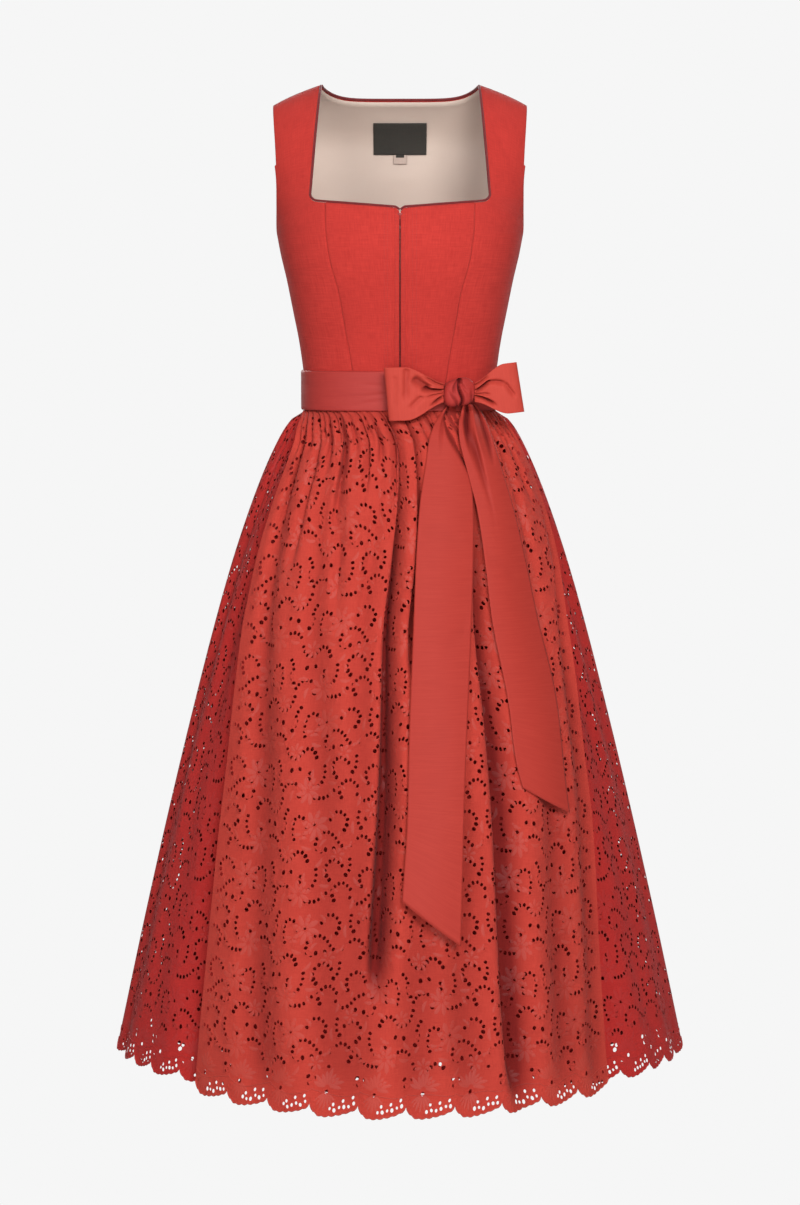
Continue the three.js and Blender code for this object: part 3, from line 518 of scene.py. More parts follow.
def woven(made, dark, light, threads, slubs, bump, contrast=1.0):
    """Colours and bump of a woven cloth from the weave group, in the piece's UV."""
    tree = made.node_tree
    cloth_weave = tree.nodes.new("ShaderNodeGroup")
    cloth_weave.node_tree = weave
    cloth_weave.inputs["Threads"].default_value = threads
    cloth_weave.inputs["Slubs"].default_value = slubs
    tree.links.new(shader_node(tree, "UVMap").outputs["UV"], cloth_weave.inputs["Cloth"])
    tone = arithmetic(tree, "MULTIPLY_ADD", cloth_weave.outputs["Tone"], contrast, 0.5)
    two_tone(made, tone, dark, light)
    embossed(made, cloth_weave.outputs["Height"], bump, 0.0004)
    return made


linen = woven(finish("linen", 0.86, sheen=0.03, specular=0.2),
              srgb(164, 40, 35), srgb(198, 58, 50), 1150, 0.9, 0.6)


def neck_edge(z):
    """Half width of the front neck at heights z, from the neck point down to the square corner."""
    return NECK_HALF + 12.5 * (NECK_POINT - z) / 143


def front_inner(z):
    """Inner edge of the front side panel: neck side, rounded corner, princess seam."""
    corner = np.interp(-z, [148, 150, 152, 153.6, 154.6, 155.4, 155.8, 156.5],
                       [113.9, 113.0, 111.6, 109.8, 107.6, 104.6, 101, 94.15])
    princess = along(FRONT_PRINCESS, 1, z) + SEAM / 2
    x = np.where(z > -148, neck_edge(z), np.where(z > -156.5, corner, princess))
    return turn_at(x, z)


def front_neck(x):
    return -164 + 7.5 * x / 94 - 4 * np.maximum(0, 1 - x / 6)


FRONT_SIDE_STATIONS = [
    (-5, -31), (-15, -41), (-25, -51), (-35, -61), (-45, -71), (-56, -82), (-67, -93), (-82, -102),
    (-96, -110), (-112, -122), (-126, -131.7), (-137, -143), (-148, -152), (-150, -156),
    (-152, -161.7),
    (-153.6, -166), (-154.6, -170.4), (-155.4, -175), (-155.8, -178), (-156.5, -184.8), (-165, -188.6),
    (-175, -191.1), (-185, -193),
]
BACK_SIDE_STATIONS = [
    (-121, -120.3), (-127, -128), (-133, -134.6), (-142, -145), (-150, -154.5), (-161, -169),
    (-172, -181.2), (-183, -190),
]
BELOW_ARMHOLE = [(-194, -194.2)] + [
    (z, z) for z in (-209, -223, -243, -266, -288, -309, -328, -348, -370, BODICE_HEM)
]
CENTRE_STATIONS = [(z, z) for z in np.linspace(-156.5, BODICE_HEM, 30)]

for mirrored, hand in ((False, "left"), (True, "right")):
    panel("front_centre_" + hand, CENTRE_STATIONS, lambda z: turn_at(0.9, z),
          lambda z: turn_at(along(FRONT_PRINCESS, 1, z) - SEAM / 2, z), -1, (0.09, 0.24), 70, 72,
          mirrored, top=front_neck)
    panel("front_side_" + hand, FRONT_SIDE_STATIONS + BELOW_ARMHOLE, front_inner,
          lambda z: arm_edge(z, -1), -1, (0.1, 0.39), 132, 40, mirrored)
    panel("back_side_" + hand, BACK_SIDE_STATIONS + BELOW_ARMHOLE,
          lambda z: turn_at(along(BACK_PRINCESS, 1, z) + SEAM / 2, z), lambda z: arm_edge(z, 1), 1,
          (0.08, 0.27), 72, 32, mirrored)


def back_neck(x):
    shoulder = NECK_POINT - SHOULDER_SLOPE * (x - NECK_HALF)
    return np.where(x > NECK_HALF, shoulder, -20 + 15 * (np.minimum(x, NECK_HALF) / NECK_HALF) ** 6)


YOKE = 0.25  # share of the back's rows above the armholes' middle


def back_place(depth, trim, slack, side_gap, edge_turn):
    """Lays a whole back: the yoke from the neck to the armhole's middle, then down to the hem."""
    def place(across, down):
        share = 2 * across - 1
        level = np.minimum(down / YOKE, 1)
        edge_x = along(STRAP_EDGE, 1, STRAP_EDGE[0][0] * (1 - level) + ARMHOLE_MIDDLE * level) - trim
        yoke_x = share * edge_x
        yoke_z = back_neck(np.abs(yoke_x)) * (1 - level) + ARMHOLE_MIDDLE * level - trim * (1 - level)
        yoke_turn = turn_at(yoke_x, yoke_z)
        z = ARMHOLE_MIDDLE + (BODICE_HEM - ARMHOLE_MIDDLE) * np.maximum(down - YOKE, 0) / (1 - YOKE)
        low_turn = share * (edge_turn(z) - side_gap)
        upper = down <= YOKE
        turn, z = np.where(upper, yoke_turn, low_turn), np.where(upper, yoke_z, z)
        first = bodice_point(turn, z, 1)
        settled = depth + slack * level + creased(first, BODICE_CREASES[1])
        return bodice_point(turn, z, 1, settled)
    return place


def centre_back_edge(z):
    princess = turn_at(along(BACK_PRINCESS, 1, z) - SEAM / 2, z)
    return np.where(z > -121, arm_edge(z, 1), princess)


back_centre = cloth(
    "back_centre_linen", 88, 92, back_place(0, 0, 0, 0, centre_back_edge), (0.3, 0.4), LINEN,
)
fitted(back_centre, linen, "back_centre")


# ----------------------------------------
# Back lining, label and size tab
# Pink-beige satin, caught in at the neck and hanging a little looser below it. The label is a
# plain woven patch sewn on by its edges, and the size tab is a folded strip under it. Both are blank.
# ----------------------------------------
lining_satin = woven(finish("lining_satin", 0.42, sheen=0.1, specular=0.35),
                     srgb(196, 176, 162), srgb(210, 192, 178), 2600, 0.25, 0.25, 0.7)
LINING_GAP, LINING_SLACK = 0.9, 2.5
lining = cloth(
    "lining_back_satin", 64, 64,
    back_place(LINEN + LINING_GAP, 0.6, LINING_SLACK, 0.035, lambda z: arm_edge(z, 1)),
    (0.3, 0.4), 0.7,
)
fitted(lining, lining_satin, "lining_back")

label_cloth = woven(finish("label_cloth", 0.8, sheen=0.1, specular=0.25),
                    srgb(44, 42, 38), srgb(62, 59, 53), 2200, 0.5, 0.5)
tab_satin = woven(finish("tab_satin", 0.5, sheen=0.05, specular=0.3),
                  srgb(176, 156, 144), srgb(202, 182, 169), 2400, 0.5, 0.4)


def patch(name, width, top, bottom, lift, made, node=None):
    """A strip sewn on the lining between two heights, with its edges drawn down."""
    def place(across, down):
        z = top + (bottom - top) * down
        level = (z + 20) / -90
        turn = turn_at(width / 2, z) * (2 * across - 1)
        border = np.minimum.reduce([across, 1 - across, down, 1 - down])
        puff = 0.35 * ease(border, 0, 0.08)
        under = LINEN + LINING_GAP + 1.0 + LINING_SLACK * level
        return bodice_point(turn, z, 1, under + lift + 0.75 + puff)
    flat = (width * MM, (top - bottom) * MM)
    piece = fitted(cloth(name + "_patch", 24, 36, place, flat, 0.5), made, node)


patch("label", 70, -44, -86, 0.3, label_cloth, "label")
patch("size_tab", 18, -86.6, -98, 0.5, tab_satin, "size_tab")
patch("size_tab_fold", 10.5, -86.4, -89.2, 0.9, label_cloth)


# ----------------------------------------
# Neck piping
# A thin cord wrapped in dark red bias cloth, set into the neck seam all round: down the strap,
# round the square corner and along the front to the zip, and across the back neck.
# ----------------------------------------
PIPING_RADIUS = 1.6


def mottled(made, scale, detail, dark, light):
    """Cloudy colours in the piece's own space, which is given back."""
    place = shader_node(made.node_tree, "TexCoord").outputs["Object"]
    two_tone(made, cloud(made.node_tree, place, scale, detail), dark, light)
    return place


piping_cloth = finish("piping_cloth", 0.7, sheen=0.15, specular=0.3)
place = mottled(piping_cloth, 260.0, 3.0, srgb(92, 20, 24), srgb(122, 34, 36))
twill = shader_node(piping_cloth.node_tree, "TexWave", Vector=place, Scale=420.0, Distortion=2.0)
twill.bands_direction = "DIAGONAL"
embossed(piping_cloth, twill.outputs["Fac"], 0.4, 0.0004)


def cord_through(name, points, radius):
    """A round cord along points in millimetres, as a closed mesh of eight sides."""
    line = bpy.data.curves.new(name, "CURVE")
    line.dimensions = "3D"
    spline = line.splines.new("POLY")
    spline.points.add(len(points) - 1)
    spline.points.foreach_set("co", np.column_stack([points * MM, np.ones(len(points))]).ravel())
    line.bevel_depth = radius * MM
    line.bevel_resolution = 1
    line.use_fill_caps = True
    select_only(added(name, line))
    bpy.ops.object.convert(target="MESH")
    piece = bpy.context.object
    smooth(piece)
    return piece


def beside_edge(turn, z, side, away):
    """The line of a piping that lies against a cloth edge, on the side that away points to."""
    outer, inner = bodice_point(turn, z, side), bodice_point(turn, z, side, LINEN)
    middle = (outer + inner) / 2
    tangent = np.gradient(middle, axis=0)
    sideways = np.cross(outer - inner, tangent)
    sideways /= np.linalg.norm(sideways, axis=1, keepdims=True)
    sideways *= np.sign((sideways * away).sum(axis=1, keepdims=True))
    return middle + sideways * (PIPING_RADIUS + 0.1)


side_z = np.concatenate([np.linspace(-6, -146, 50), np.linspace(-148, -156.4, 26)])
across_x = np.linspace(93.4, 1.6, 60)
turns = np.concatenate([front_inner(side_z), turn_at(across_x, front_neck(across_x))])
heights = np.concatenate([side_z, front_neck(across_x)])
away = np.column_stack([-1.0 * (heights > -154), np.zeros(len(turns)), 1.0 * (heights < -150)])
neck_line = beside_edge(turns, heights, -1, away)
back_x = np.linspace(-101.5, 101.5, 90)
back_z = back_neck(np.abs(back_x))
back_line = beside_edge(turn_at(back_x, back_z), back_z, 1, np.array([[0.0, 0.0, 1.0]]))
for name, node, route in (
    ("piping_cord_left", "piping_front_left", neck_line),
    ("piping_cord_right", "piping_front_right", neck_line * (-1, 1, 1)),
    ("piping_cord_back", "piping_back", back_line),
):
    fitted(cord_through(name, route, PIPING_RADIUS), piping_cloth, node)


# ----------------------------------------
# Zip
# A fine dark red zip behind the placket: two woven tapes, their row of teeth, and an enamelled
# slider with its pull at the top. Rows of stitches on both sides hold the placket's folds.
# ----------------------------------------
zip_tape = woven(finish("zip_tape", 0.8, sheen=0.1, specular=0.25),
                 srgb(66, 14, 18), srgb(90, 22, 26), 1800, 0.4, 0.6)
for sign, hand in ((1, "left"), (-1, "right")):
    def tape_place(across, down):
        x, z = 0.15 + 12.85 * across, -175 - 190 * down
        made = bodice_point(turn_at(x, z), z, -1, LINEN + 1.1 + 0.15 * np.cos(across * 40))
        return made * (sign, 1, 1)
    tape = cloth("zip_cloth_" + hand, 60, 12, tape_place, (0.013, 0.19), 0.6)
    fitted(tape, zip_tape, "zip_tape_" + hand)


def repeated(name, pattern, places):
    """Copies of a small modelled shape, in millimetres, at 4x4 places, joined in one mesh."""
    mesh = pattern.data
    points = np.array([tuple(v.co) for v in mesh.vertices]) / MM
    faces = [tuple(p.vertices) for p in mesh.polygons]
    places = np.array(places)
    moved = np.einsum("kij,vj->kvi", places[:, :3, :3], points) + places[:, None, :3, 3]
    count = len(points)
    every = [tuple(i + k * count for i in face) for k in range(len(places)) for face in faces]
    joined = bpy.data.meshes.new(name)
    joined.from_pydata((moved.reshape(-1, 3) * MM).tolist(), [], every)
    piece = added(name, joined)
    smooth(piece)
    bpy.data.objects.remove(pattern)
    return piece


def standing(points, towards):
    """Places on the front whose z axis runs along towards and whose y axis faces forward."""
    out = np.array([[0.0, -1.0, 0.0]])
    z = towards / np.linalg.norm(towards, axis=1, keepdims=True)
    y = out - (out * z).sum(axis=1, keepdims=True) * z
    y /= np.linalg.norm(y, axis=1, keepdims=True)
    made = np.tile(np.eye(4), (len(points), 1, 1))
    made[:, :3, 0], made[:, :3, 1], made[:, :3, 2], made[:, :3, 3] = np.cross(y, z), y, z, points
    return made


deselect()
bpy.ops.mesh.primitive_cube_add(size=1)
tooth = bpy.context.object
tooth.data.transform(Matrix.Diagonal((2.0 * MM, 1.1 * MM, 0.9 * MM, 1)))
edge = tooth.modifiers.new("edge", "BEVEL")
edge.width = 0.3 * MM
apply_modifiers(tooth)
TEETH = 120
tooth_z = np.linspace(-190, -362, TEETH)
tooth_x = 0.55 * (-1.0) ** np.arange(TEETH)
tooth_points = bodice_point(turn_at(np.abs(tooth_x), tooth_z), tooth_z, -1, LINEN + 0.5)
tooth_points[:, 0] = tooth_x
teeth = repeated("zip_teeth", tooth, standing(tooth_points, np.gradient(tooth_points, axis=0)))
fitted(teeth, zip_tape)


def bevelled_block(width, depth, height, middle, round_off):
    deselect()
    bpy.ops.mesh.primitive_cube_add(size=1)
    block = bpy.context.object
    block.data.transform(Matrix.Diagonal((width * MM, depth * MM, height * MM, 1)))
    block.data.transform(Matrix.Translation(Vector(middle) * MM))
    edge = block.modifiers.new("edge", "BEVEL")
    edge.width = round_off * MM
    edge.segments = 3
    apply_modifiers(block)
    return block


head = bodice_point(turn_at(0.7, -170.0), -170.0, -1)
tail = bodice_point(turn_at(0.7, -186.6), -186.6, -1)
slope = math.atan2(tail[1] - head[1], head[2] - tail[2])
parts = [
    bevelled_block(6.0, 1.0, 7.6, (0, -0.2, -4.2), 0.4),
    bevelled_block(5.4, 1.0, 7.0, (0, 1.2, -4.2), 0.4),
    bevelled_block(1.6, 1.5, 5.4, (0, -1.0, -4.0), 0.5),
    bevelled_block(3.0, 0.8, 10.4, (0, -1.7, -11.0), 0.38),
]
deselect()
for part in parts:
    part.select_set(True)
bpy.context.view_layer.objects.active = parts[0]
bpy.ops.object.join()
zip_slider = bpy.context.object
zip_slider.name = zip_slider.data.name = "zip_slider_enamelled"
zip_slider.data.transform(Matrix.Rotation(-slope, 4, "X"))
zip_slider.data.transform(Matrix.Translation(Vector((0, head[1] - 0.6, head[2])) * MM))
bpy.ops.object.shade_smooth_by_angle(angle=math.radians(40))
enamel = finish("zip_enamel", 0.32, metallic=0.35, coat=0.4)
mottled(enamel, 900.0, 2.0, srgb(128, 36, 38), srgb(176, 64, 60))
fitted(zip_slider, enamel, "zip_slider")



def stitch_pattern(length, width):
    deselect()
    bpy.ops.mesh.primitive_uv_sphere_add(segments=6, ring_count=5, radius=0.5)
    stitch = bpy.context.object
    stitch.data.transform(Matrix.Diagonal((width * MM, 0.55 * width * MM, length * MM, 1)))
    return stitch


STITCH_PITCH = 3.0


def row_of_stitches(x, top, bottom):
    """Points and ways of a straight row of stitches on the bodice front."""
    z = np.arange(top, bottom, -STITCH_PITCH)
    points = bodice_point(turn_at(np.full(len(z), abs(x)), z), z, -1, -0.05)
    points[:, 0] *= np.sign(x)
    return points, np.gradient(points, axis=0)


rows = [row_of_stitches(x, -168 + 0.08 * abs(x), -364) for x in (-5.4, 5.4, -15.6, 15.6, -19.5, 20.5)]
points = np.concatenate([row[0] for row in rows])
ways = np.concatenate([row[1] for row in rows])
placket_stitches = repeated("placket_stitches", stitch_pattern(2.1, 0.45), standing(points, ways))
thread = finish("stitching_thread", 0.6, sheen=0.2, specular=0.3)
mottled(thread, 700.0, 2.0, srgb(132, 34, 34), srgb(168, 52, 48))
fitted(placket_stitches, thread)


# ----------------------------------------
# Waistband
# A folded band of ribbed taffeta round the waist, pulled smooth at the left and wrinkled where it
# runs in behind the bow. Its back half is plain and closes with the apron's ties.
# ----------------------------------------
BAND = 1.8
BAND_TOP, BAND_BOTTOM = -366.8, -417
BAND_HALF = 127.5
BAND_RING = {-1: 93.3, 1: 87.3}
BAND_DIP = 19  # how far the bow's knot pulls the upper edge down
BAND_CREASES = {
    # angle round the waist in degrees, height, half length in degrees, half width, tilt, depth
    -1: [(-12, -405, 9, 2.4, 3.2, 1.1), (-9, -396, 8, 2.2, 2.0, 1.3), (-12, -384, 7, 2.0, -1.0, 0.9),
         (-34, -400, 14, 4.0, 1.0, 0.6), (48, -398, 9, 2.6, -3.0, 1.0), (52, -384, 10, 2.8, -1.0, 0.8),
         (-62, -386, 12, 5.0, -1.4, 0.5)],
    1: [(-30, -398, 13, 3.6, 1.5, 0.8), (22, -388, 12, 3.4, -1.2, 0.8), (58, -402, 12, 3.0, 1.0, 0.7),
        (-64, -384, 10, 3.0, -1.0, 0.6), (0, -408, 8, 2.4, 0.5, 0.7)],
}


RIB_PITCH = 0.0011


def ribbed(made, dark, light):
    """Taffeta: fine ribs across the ribbon, in the piece's UV, with a faint cloudy painted sheen in
    its colour.
    """
    tree = made.node_tree
    uv = shader_node(tree, "UVMap").outputs["UV"]
    axes = tree.nodes.new("ShaderNodeSeparateXYZ")
    tree.links.new(uv, axes.inputs[0])
    wander = cloud(tree, stretched(tree, uv, (30, 300, 1)), 1.0)
    turns = arithmetic(tree, "MULTIPLY", axes.outputs["Y"], 2 * math.pi / RIB_PITCH)
    turns = arithmetic(tree, "MULTIPLY_ADD", wander, 5.0, turns)
    ribs = arithmetic(tree, "MULTIPLY_ADD", arithmetic(tree, "SINE", turns), 0.5, 0.5)
    painted_sheen = cloud(tree, stretched(tree, uv, (24, 700, 1)), 1.0)
    tone = arithmetic(tree, "MULTIPLY_ADD", painted_sheen, 0.9, -0.05)
    two_tone(made, arithmetic(tree, "MULTIPLY_ADD", ribs, 0.14, tone), dark, light)
    embossed(made, ribs, 0.35, 0.0003)
    return made


band_taffeta = ribbed(finish("band_taffeta", 0.6, sheen=0.04, specular=0.28),
                      srgb(154, 43, 39), srgb(174, 55, 48))

for side, name in ((-1, "waistband_front"), (1, "waistband_back")):
    def band_place(across, down):
        angle = math.pi * (across - 0.5)
        pinch = np.exp(-(((np.degrees(angle) - 42) / 30) ** 6)) if side < 0 else 0
        z = BAND_TOP - BAND_DIP * pinch * (1 - down) + (BAND_BOTTOM - BAND_TOP) * down
        inset = 0.7 * (1 - ease(down, 0, 0.035)) + 0.7 * ease(down, 0.965, 1)
        for at, height, length, width, tilt, depth in BAND_CREASES[side]:
            run = (np.degrees(angle) - at) / length
            inset = inset + depth * np.exp(-(run ** 2) - ((z - height - tilt * run) / width) ** 2)
        half, reach = BAND_HALF - inset, BAND_RING[side] - inset
        x = half * np.sign(angle) * np.abs(np.sin(angle)) ** (2 / CORNERS)
        y = reach * np.maximum(0, np.cos(angle)) ** (2 / CORNERS) + SEAM / 2
        return np.stack([x, side * y, z], axis=-1)
    band = cloth(name + "_ribbon", 28, 116, band_place, (0.37, 0.05), BAND)
    fitted(band, band_taffeta, name)


# ----------------------------------------
# Eyelet lace
# Embroidered cotton that the skirt and the apron are cut from: scrolls, arches and waves of oval
# eyelets with raised stitched rims, broad tone-on-tone flowers between them, and a scalloped
# border with shells and open ovals. Each piece below is laid out flat and hung in its gathers.
# ----------------------------------------
REPEAT = (110, 124)
TRAILS = [
    # points of a trail across and down one repeat, from start to hook, and its eyelets' radius
    ([(0, 43), (9, 50), (19, 47), (28, 38), (39, 33), (50, 36), (55, 47), (49, 56), (40, 54)], 2.3),
    ([(110, 52), (106, 63), (97, 70), (88, 66), (80, 58), (70, 59), (64, 68)], 2.3),
    ([(110, 109), (103, 101), (93, 99), (84, 105), (84, 115)], 2.3),
    ([(0, 100), (9, 93), (19, 95), (26, 104), (22, 114)], 2.3),
    ([(86, 43), (89, 32), (88, 20), (80, 15), (72, 20), (69, 31), (72, 40)], 2.2),
    ([(14, 72), (24, 66), (35, 70), (38, 81), (31, 90)], 2.4),
    ([(51, 78), (50, 88), (54, 98), (63, 104), (72, 98), (71, 87)], 2.3),
    ([(37, 18), (29, 8), (18, 9), (11, 18), (15, 29)], 2.3),
    ([(99, 8), (104, 17), (102, 27), (106, 36)], 2.3),
    ([(34, 106), (42, 113), (52, 117), (62, 116)], 2.3),
    ([(4, 64), (3, 75), (8, 83)], 2.2),
]
ROUND_EYELETS = [(56, 14, 2.8), (60, 24, 2.6), (98, 84, 2.9), (28, 52, 2.6), (86, 82, 2.5)]
EYELET_PITCH = 6.5
OVAL = (0.92, 1.14)
RIM = 1.5
HEM_STEP = 2.2  # between points along the scalloped edge


def through(points):
    """Evenly pitched points on a smooth line through points, and the way it runs at each."""
    points = np.array(points, float)
    fine = np.linspace(0, len(points) - 1, 20 * len(points))
    table = np.column_stack([-np.arange(len(points)), points])
    line = np.column_stack([along(table, 1, -fine), along(table, 2, -fine)])
    steps = np.diff(line, axis=0)
    run = np.concatenate([[0], np.cumsum(np.linalg.norm(steps, axis=1))])
    at = np.linspace(0, run[-1], max(2, round(run[-1] / EYELET_PITCH) + 1))
    angle = np.unwrap(np.arctan2(steps[:, 1], steps[:, 0]))
    return np.column_stack([np.interp(at, run, line[:, 0]), np.interp(at, run, line[:, 1]),
                            np.interp(at, run[1:], angle)])


def repeat_eyelets():
    """Eyelets of one repeat: x, y, radius, and the angle of the trail that each lies across."""
    holes = [(x, y, radius, 0.7 * x) for x, y, radius in ROUND_EYELETS]
    for points, radius in TRAILS:
        trail = through(points)
        for k, (x, y, angle) in enumerate(trail):
            grown = 0.94 + 0.28 * (k / (len(trail) - 1)) ** 3 + 0.07 * math.cos(2.1 * k)
            holes.append((x, y, radius * grown, angle))
    return np.array(holes)


def spread_repeat(marks, width, length, across, border):
    """Marks (x, y, size, angle) of one repeat over a whole cut, in columns that are mirrored and
    dropped by half a repeat in turn. border is how much of the lower edge stays free."""
    step = width / across
    found = []
    for cell in range(-1, across + 1):
        for row in range(int(length // REPEAT[1]) + 2):
            copy = marks.copy()
            copy[:, 0] *= step / REPEAT[0]
            if cell % 2:
                copy[:, 0] = step - copy[:, 0]
                copy[:, 3] = math.pi - copy[:, 3]
            copy[:, 0] += cell * step
            copy[:, 1] += length - border - REPEAT[1] * (row + 1 - 0.46 * (cell % 2))
            found.append(copy[copy[:, 1] < length - border])
    return np.concatenate(found)


# Drop of a scalloped edge below the hem line: down fast after each notch, then a slow rise
SCALLOP = [(0, 0.22), (0.04, 0.42), (0.1, 0.68), (0.2, 0.93), (0.32, 1), (0.5, 0.93), (0.7, 0.78),
           (0.86, 0.6), (0.95, 0.45), (1, 0.22)]
SCALLOP_DROP = 17
LOBES = 7
BORDER = 34  # how much of the lower edge the repeat leaves free
BORDER_GAP, SIDE_MARGIN = 9, 8
# Round eyelets above a scallop: share along it, distance up from its lowest line, radius
ROUND_BORDER = [(0.3, 20, 2.4), (0.93, 30, 3.1), (1.0, 35.5, 2.7), (0.88, 37.5, 2.6), (0.4, 33, 2.3)]


def scalloped(phase):
    share = np.asarray(phase) % 1.0
    whole = SCALLOP_DROP * np.interp(share, [s for s, _ in SCALLOP], [d for _, d in SCALLOP])
    return whole + 1.6 * np.abs(np.sin(math.pi * LOBES * share))


def border_marks(length, scallops, edge):
    """Open ovals of the border: a band along each scallop's rising side and a crescent beside its
    shell, with a few round ones above, for scallops given by where they start and end."""
    found = []
    for k, (start, end) in enumerate(scallops):
        span = end - start
        size = span / 70
        for i in range(6):
            u = start + span * (0.43 + 0.095 * i)
            slope = float(edge(u + 1) - edge(u - 1)) / 2
            v = length + float(edge(u)) - 7.2 - 1.3 * math.sin(2.3 * i + k)
            found.append((u, v, 2.0 + 0.35 * math.cos(2.9 * i + k), slope))
            if i % 2:
                found.append((u - 2.5 * size, v - 6.6, 1.9, slope + 0.4))
        for i in range(3):
            u = start + span * (0.06 + 0.055 * i)
            found.append((u, length + float(edge(u)) - 12.5 - 1.2 * i, 2.3 - 0.3 * i, 0.6))
        for u, v, radius in ROUND_BORDER:
            found.append((start + span * u, length + 12 - v - 2 * size, radius, 1.1 * u))
    return np.array(found)


def clear_of_others(marks, others):
    """The marks that stand clear of others, with those."""
    apart = np.linalg.norm(marks[:, None, :2] - others[None, :, :2], axis=2).min(axis=1)
    return np.concatenate([marks[apart > BORDER_GAP], others])


def flat_lace(width, length, edge, pitch, rings, eyelets):
    """The flat cut: u, v, lift and rim share of each point, and its triangles. rings are those
    round each eyelet, as how far out each stands, its lift and its share of rim."""
    sides = 8 if len(rings) == 3 else 6
    turns = 2 * math.pi * (np.arange(sides) + 0.5) / sides
    cosine, sine = np.cos(eyelets[:, 3:4]), np.sin(eyelets[:, 3:4])
    points = []
    for out, lift, shine in rings:
        along_trail = (OVAL[0] * eyelets[:, 2:3] + out) * np.cos(turns)
        across_trail = (OVAL[1] * eyelets[:, 2:3] + out) * np.sin(turns)
        u = eyelets[:, 0:1] + along_trail * cosine - across_trail * sine
        v = eyelets[:, 1:2] + along_trail * sine + across_trail * cosine
        ring = np.stack([u, v, np.full_like(u, lift), np.full_like(u, shine)], axis=-1)
        points.append(ring.reshape(-1, 4))
    inner = len(points[0])
    first = np.arange(inner)
    bounds = np.column_stack([first, first // sides * sides + (first + 1) % sides])
    fine_u = np.linspace(0, width, int(width / HEM_STEP) + 1)
    drop = edge(fine_u)
    hem = np.column_stack([fine_u, length + drop, np.zeros((len(fine_u), 2))])
    hem_first = sum(len(ring) for ring in points) + np.arange(len(fine_u) - 1)
    bounds = np.concatenate([bounds, np.column_stack([hem_first, hem_first + 1])])
    columns = np.linspace(0, width, int(width / pitch) + 1)
    heights = np.concatenate([np.linspace(0, 60, 13), np.arange(69, length - 4, 9.0)])
    grid = np.stack(np.meshgrid(columns, heights), axis=-1).reshape(-1, 2)
    inner_u, inner_v = fine_u[1:-1:2], length + drop[1:-1:2]
    above_hem = [np.column_stack([inner_u, inner_v - away]) for away in (2.4, 6.5)]
    loose = np.concatenate([grid, *above_hem])
    tree = KDTree(len(eyelets))
    for i, (u, v) in enumerate(eyelets[:, :2]):
        tree.insert((u, v, 0), i)
    tree.balance()
    kept = []
    for u, v in loose:
        _, i, apart = tree.find((u, v, 0))
        if apart > OVAL[1] * eyelets[i, 2] + RIM + 0.3:
            kept.append((u, v, 0, 0))
    points = np.concatenate([*points, hem, kept])
    spots = [Vector(p[:2]) for p in points]
    spread, _, faces = delaunay_2d_cdt(spots, bounds.tolist(), [], 0, 1e-4, False)[:3]
    flat = np.zeros((len(spread), 4))
    flat[:, :2] = [tuple(p) for p in spread]
    flat[:len(points), 2:] = points[:, 2:]
    faces = np.array([tuple(face) for face in faces if len(face) == 3])
    hole = np.where(np.arange(len(flat)) < inner, np.arange(len(flat)) // sides, -1)[faces]
    in_hole = (hole[:, 0] >= 0) & (hole[:, 0] == hole[:, 1]) & (hole[:, 1] == hole[:, 2])
    middle = flat[faces].mean(axis=1)
    beyond = middle[:, 1] > length + np.interp(middle[:, 0], fine_u, drop)
    return flat, faces[~in_hole & ~beyond], fine_u


def laid_mesh(name, placed, faces, uv, made, rim):
    """A mesh of points in millimetres with its UV in metres, as a new piece of lace."""
    mesh = bpy.data.meshes.new(name)
    mesh.from_pydata((placed * MM).tolist(), [], faces)
    lay_uv(mesh, mesh.uv_layers.new(name="UVMap"), uv)
    piece = added(name, mesh)
    mark(piece, "rim", rim)
    face_out(piece)
    smooth(piece)
    return fitted(piece, made)


def lace_piece(name, node, hang, width, length, edge, pitch, rings, eyelets, made, cord_made):
    """A hung piece of lace that stands for a node, with its hem's cord and a row of cord above."""
    flat, faces, fine_u = flat_lace(width, length, edge, pitch, rings, eyelets)
    placed = hang(flat[:, 0] / width, flat[:, 1], flat[:, 2])
    uv = np.column_stack([flat[:, 0], length - flat[:, 1]]) * MM
    piece = laid_mesh(name, placed, faces.tolist(), uv, made, flat[:, 3])
    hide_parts(node)
    row_u = fine_u[::2]
    row_v = length - 13 + 2.5 * np.sin(row_u / 12) + 0.35 * edge(row_u)
    cords = []
    for part, u, v, radius in (
        ("_border", fine_u, length + edge(fine_u), 1.0), ("_ridge", row_u, row_v, 0.6),
    ):
        cord = cord_through(name + part, hang(u / width, v, np.zeros(len(u))), radius)
        cords.append(fitted(cord, cord_made))
    return piece, cords


PETAL_STATIONS = np.array([0, 0.2, 0.5, 0.8, 1.0])
PETAL_WIDTHS = np.array([0.16, 0.66, 1.0, 0.84, 0.14])
PETAL_POINTS = 3 * len(PETAL_STATIONS)


def petal(u, v, angle, start, length, width, bend=0.0):
    """One satin-stitched petal as rows of three points (u, v, lift), from its foot to its tip."""
    share = PETAL_STATIONS[:, None]
    turned = angle + bend * share
    reach = start + share * length
    side = np.array([-1, 0, 1]) * width * PETAL_WIDTHS[:, None] / 2
    petal_u = u + reach * np.cos(turned) - side * np.sin(turned)
    petal_v = v + reach * np.sin(turned) + side * np.cos(turned)
    lift = np.where(side == 0, 0.42, -0.1) + 0 * share
    return np.stack([petal_u, petal_v, lift], axis=-1).reshape(-1, 3)


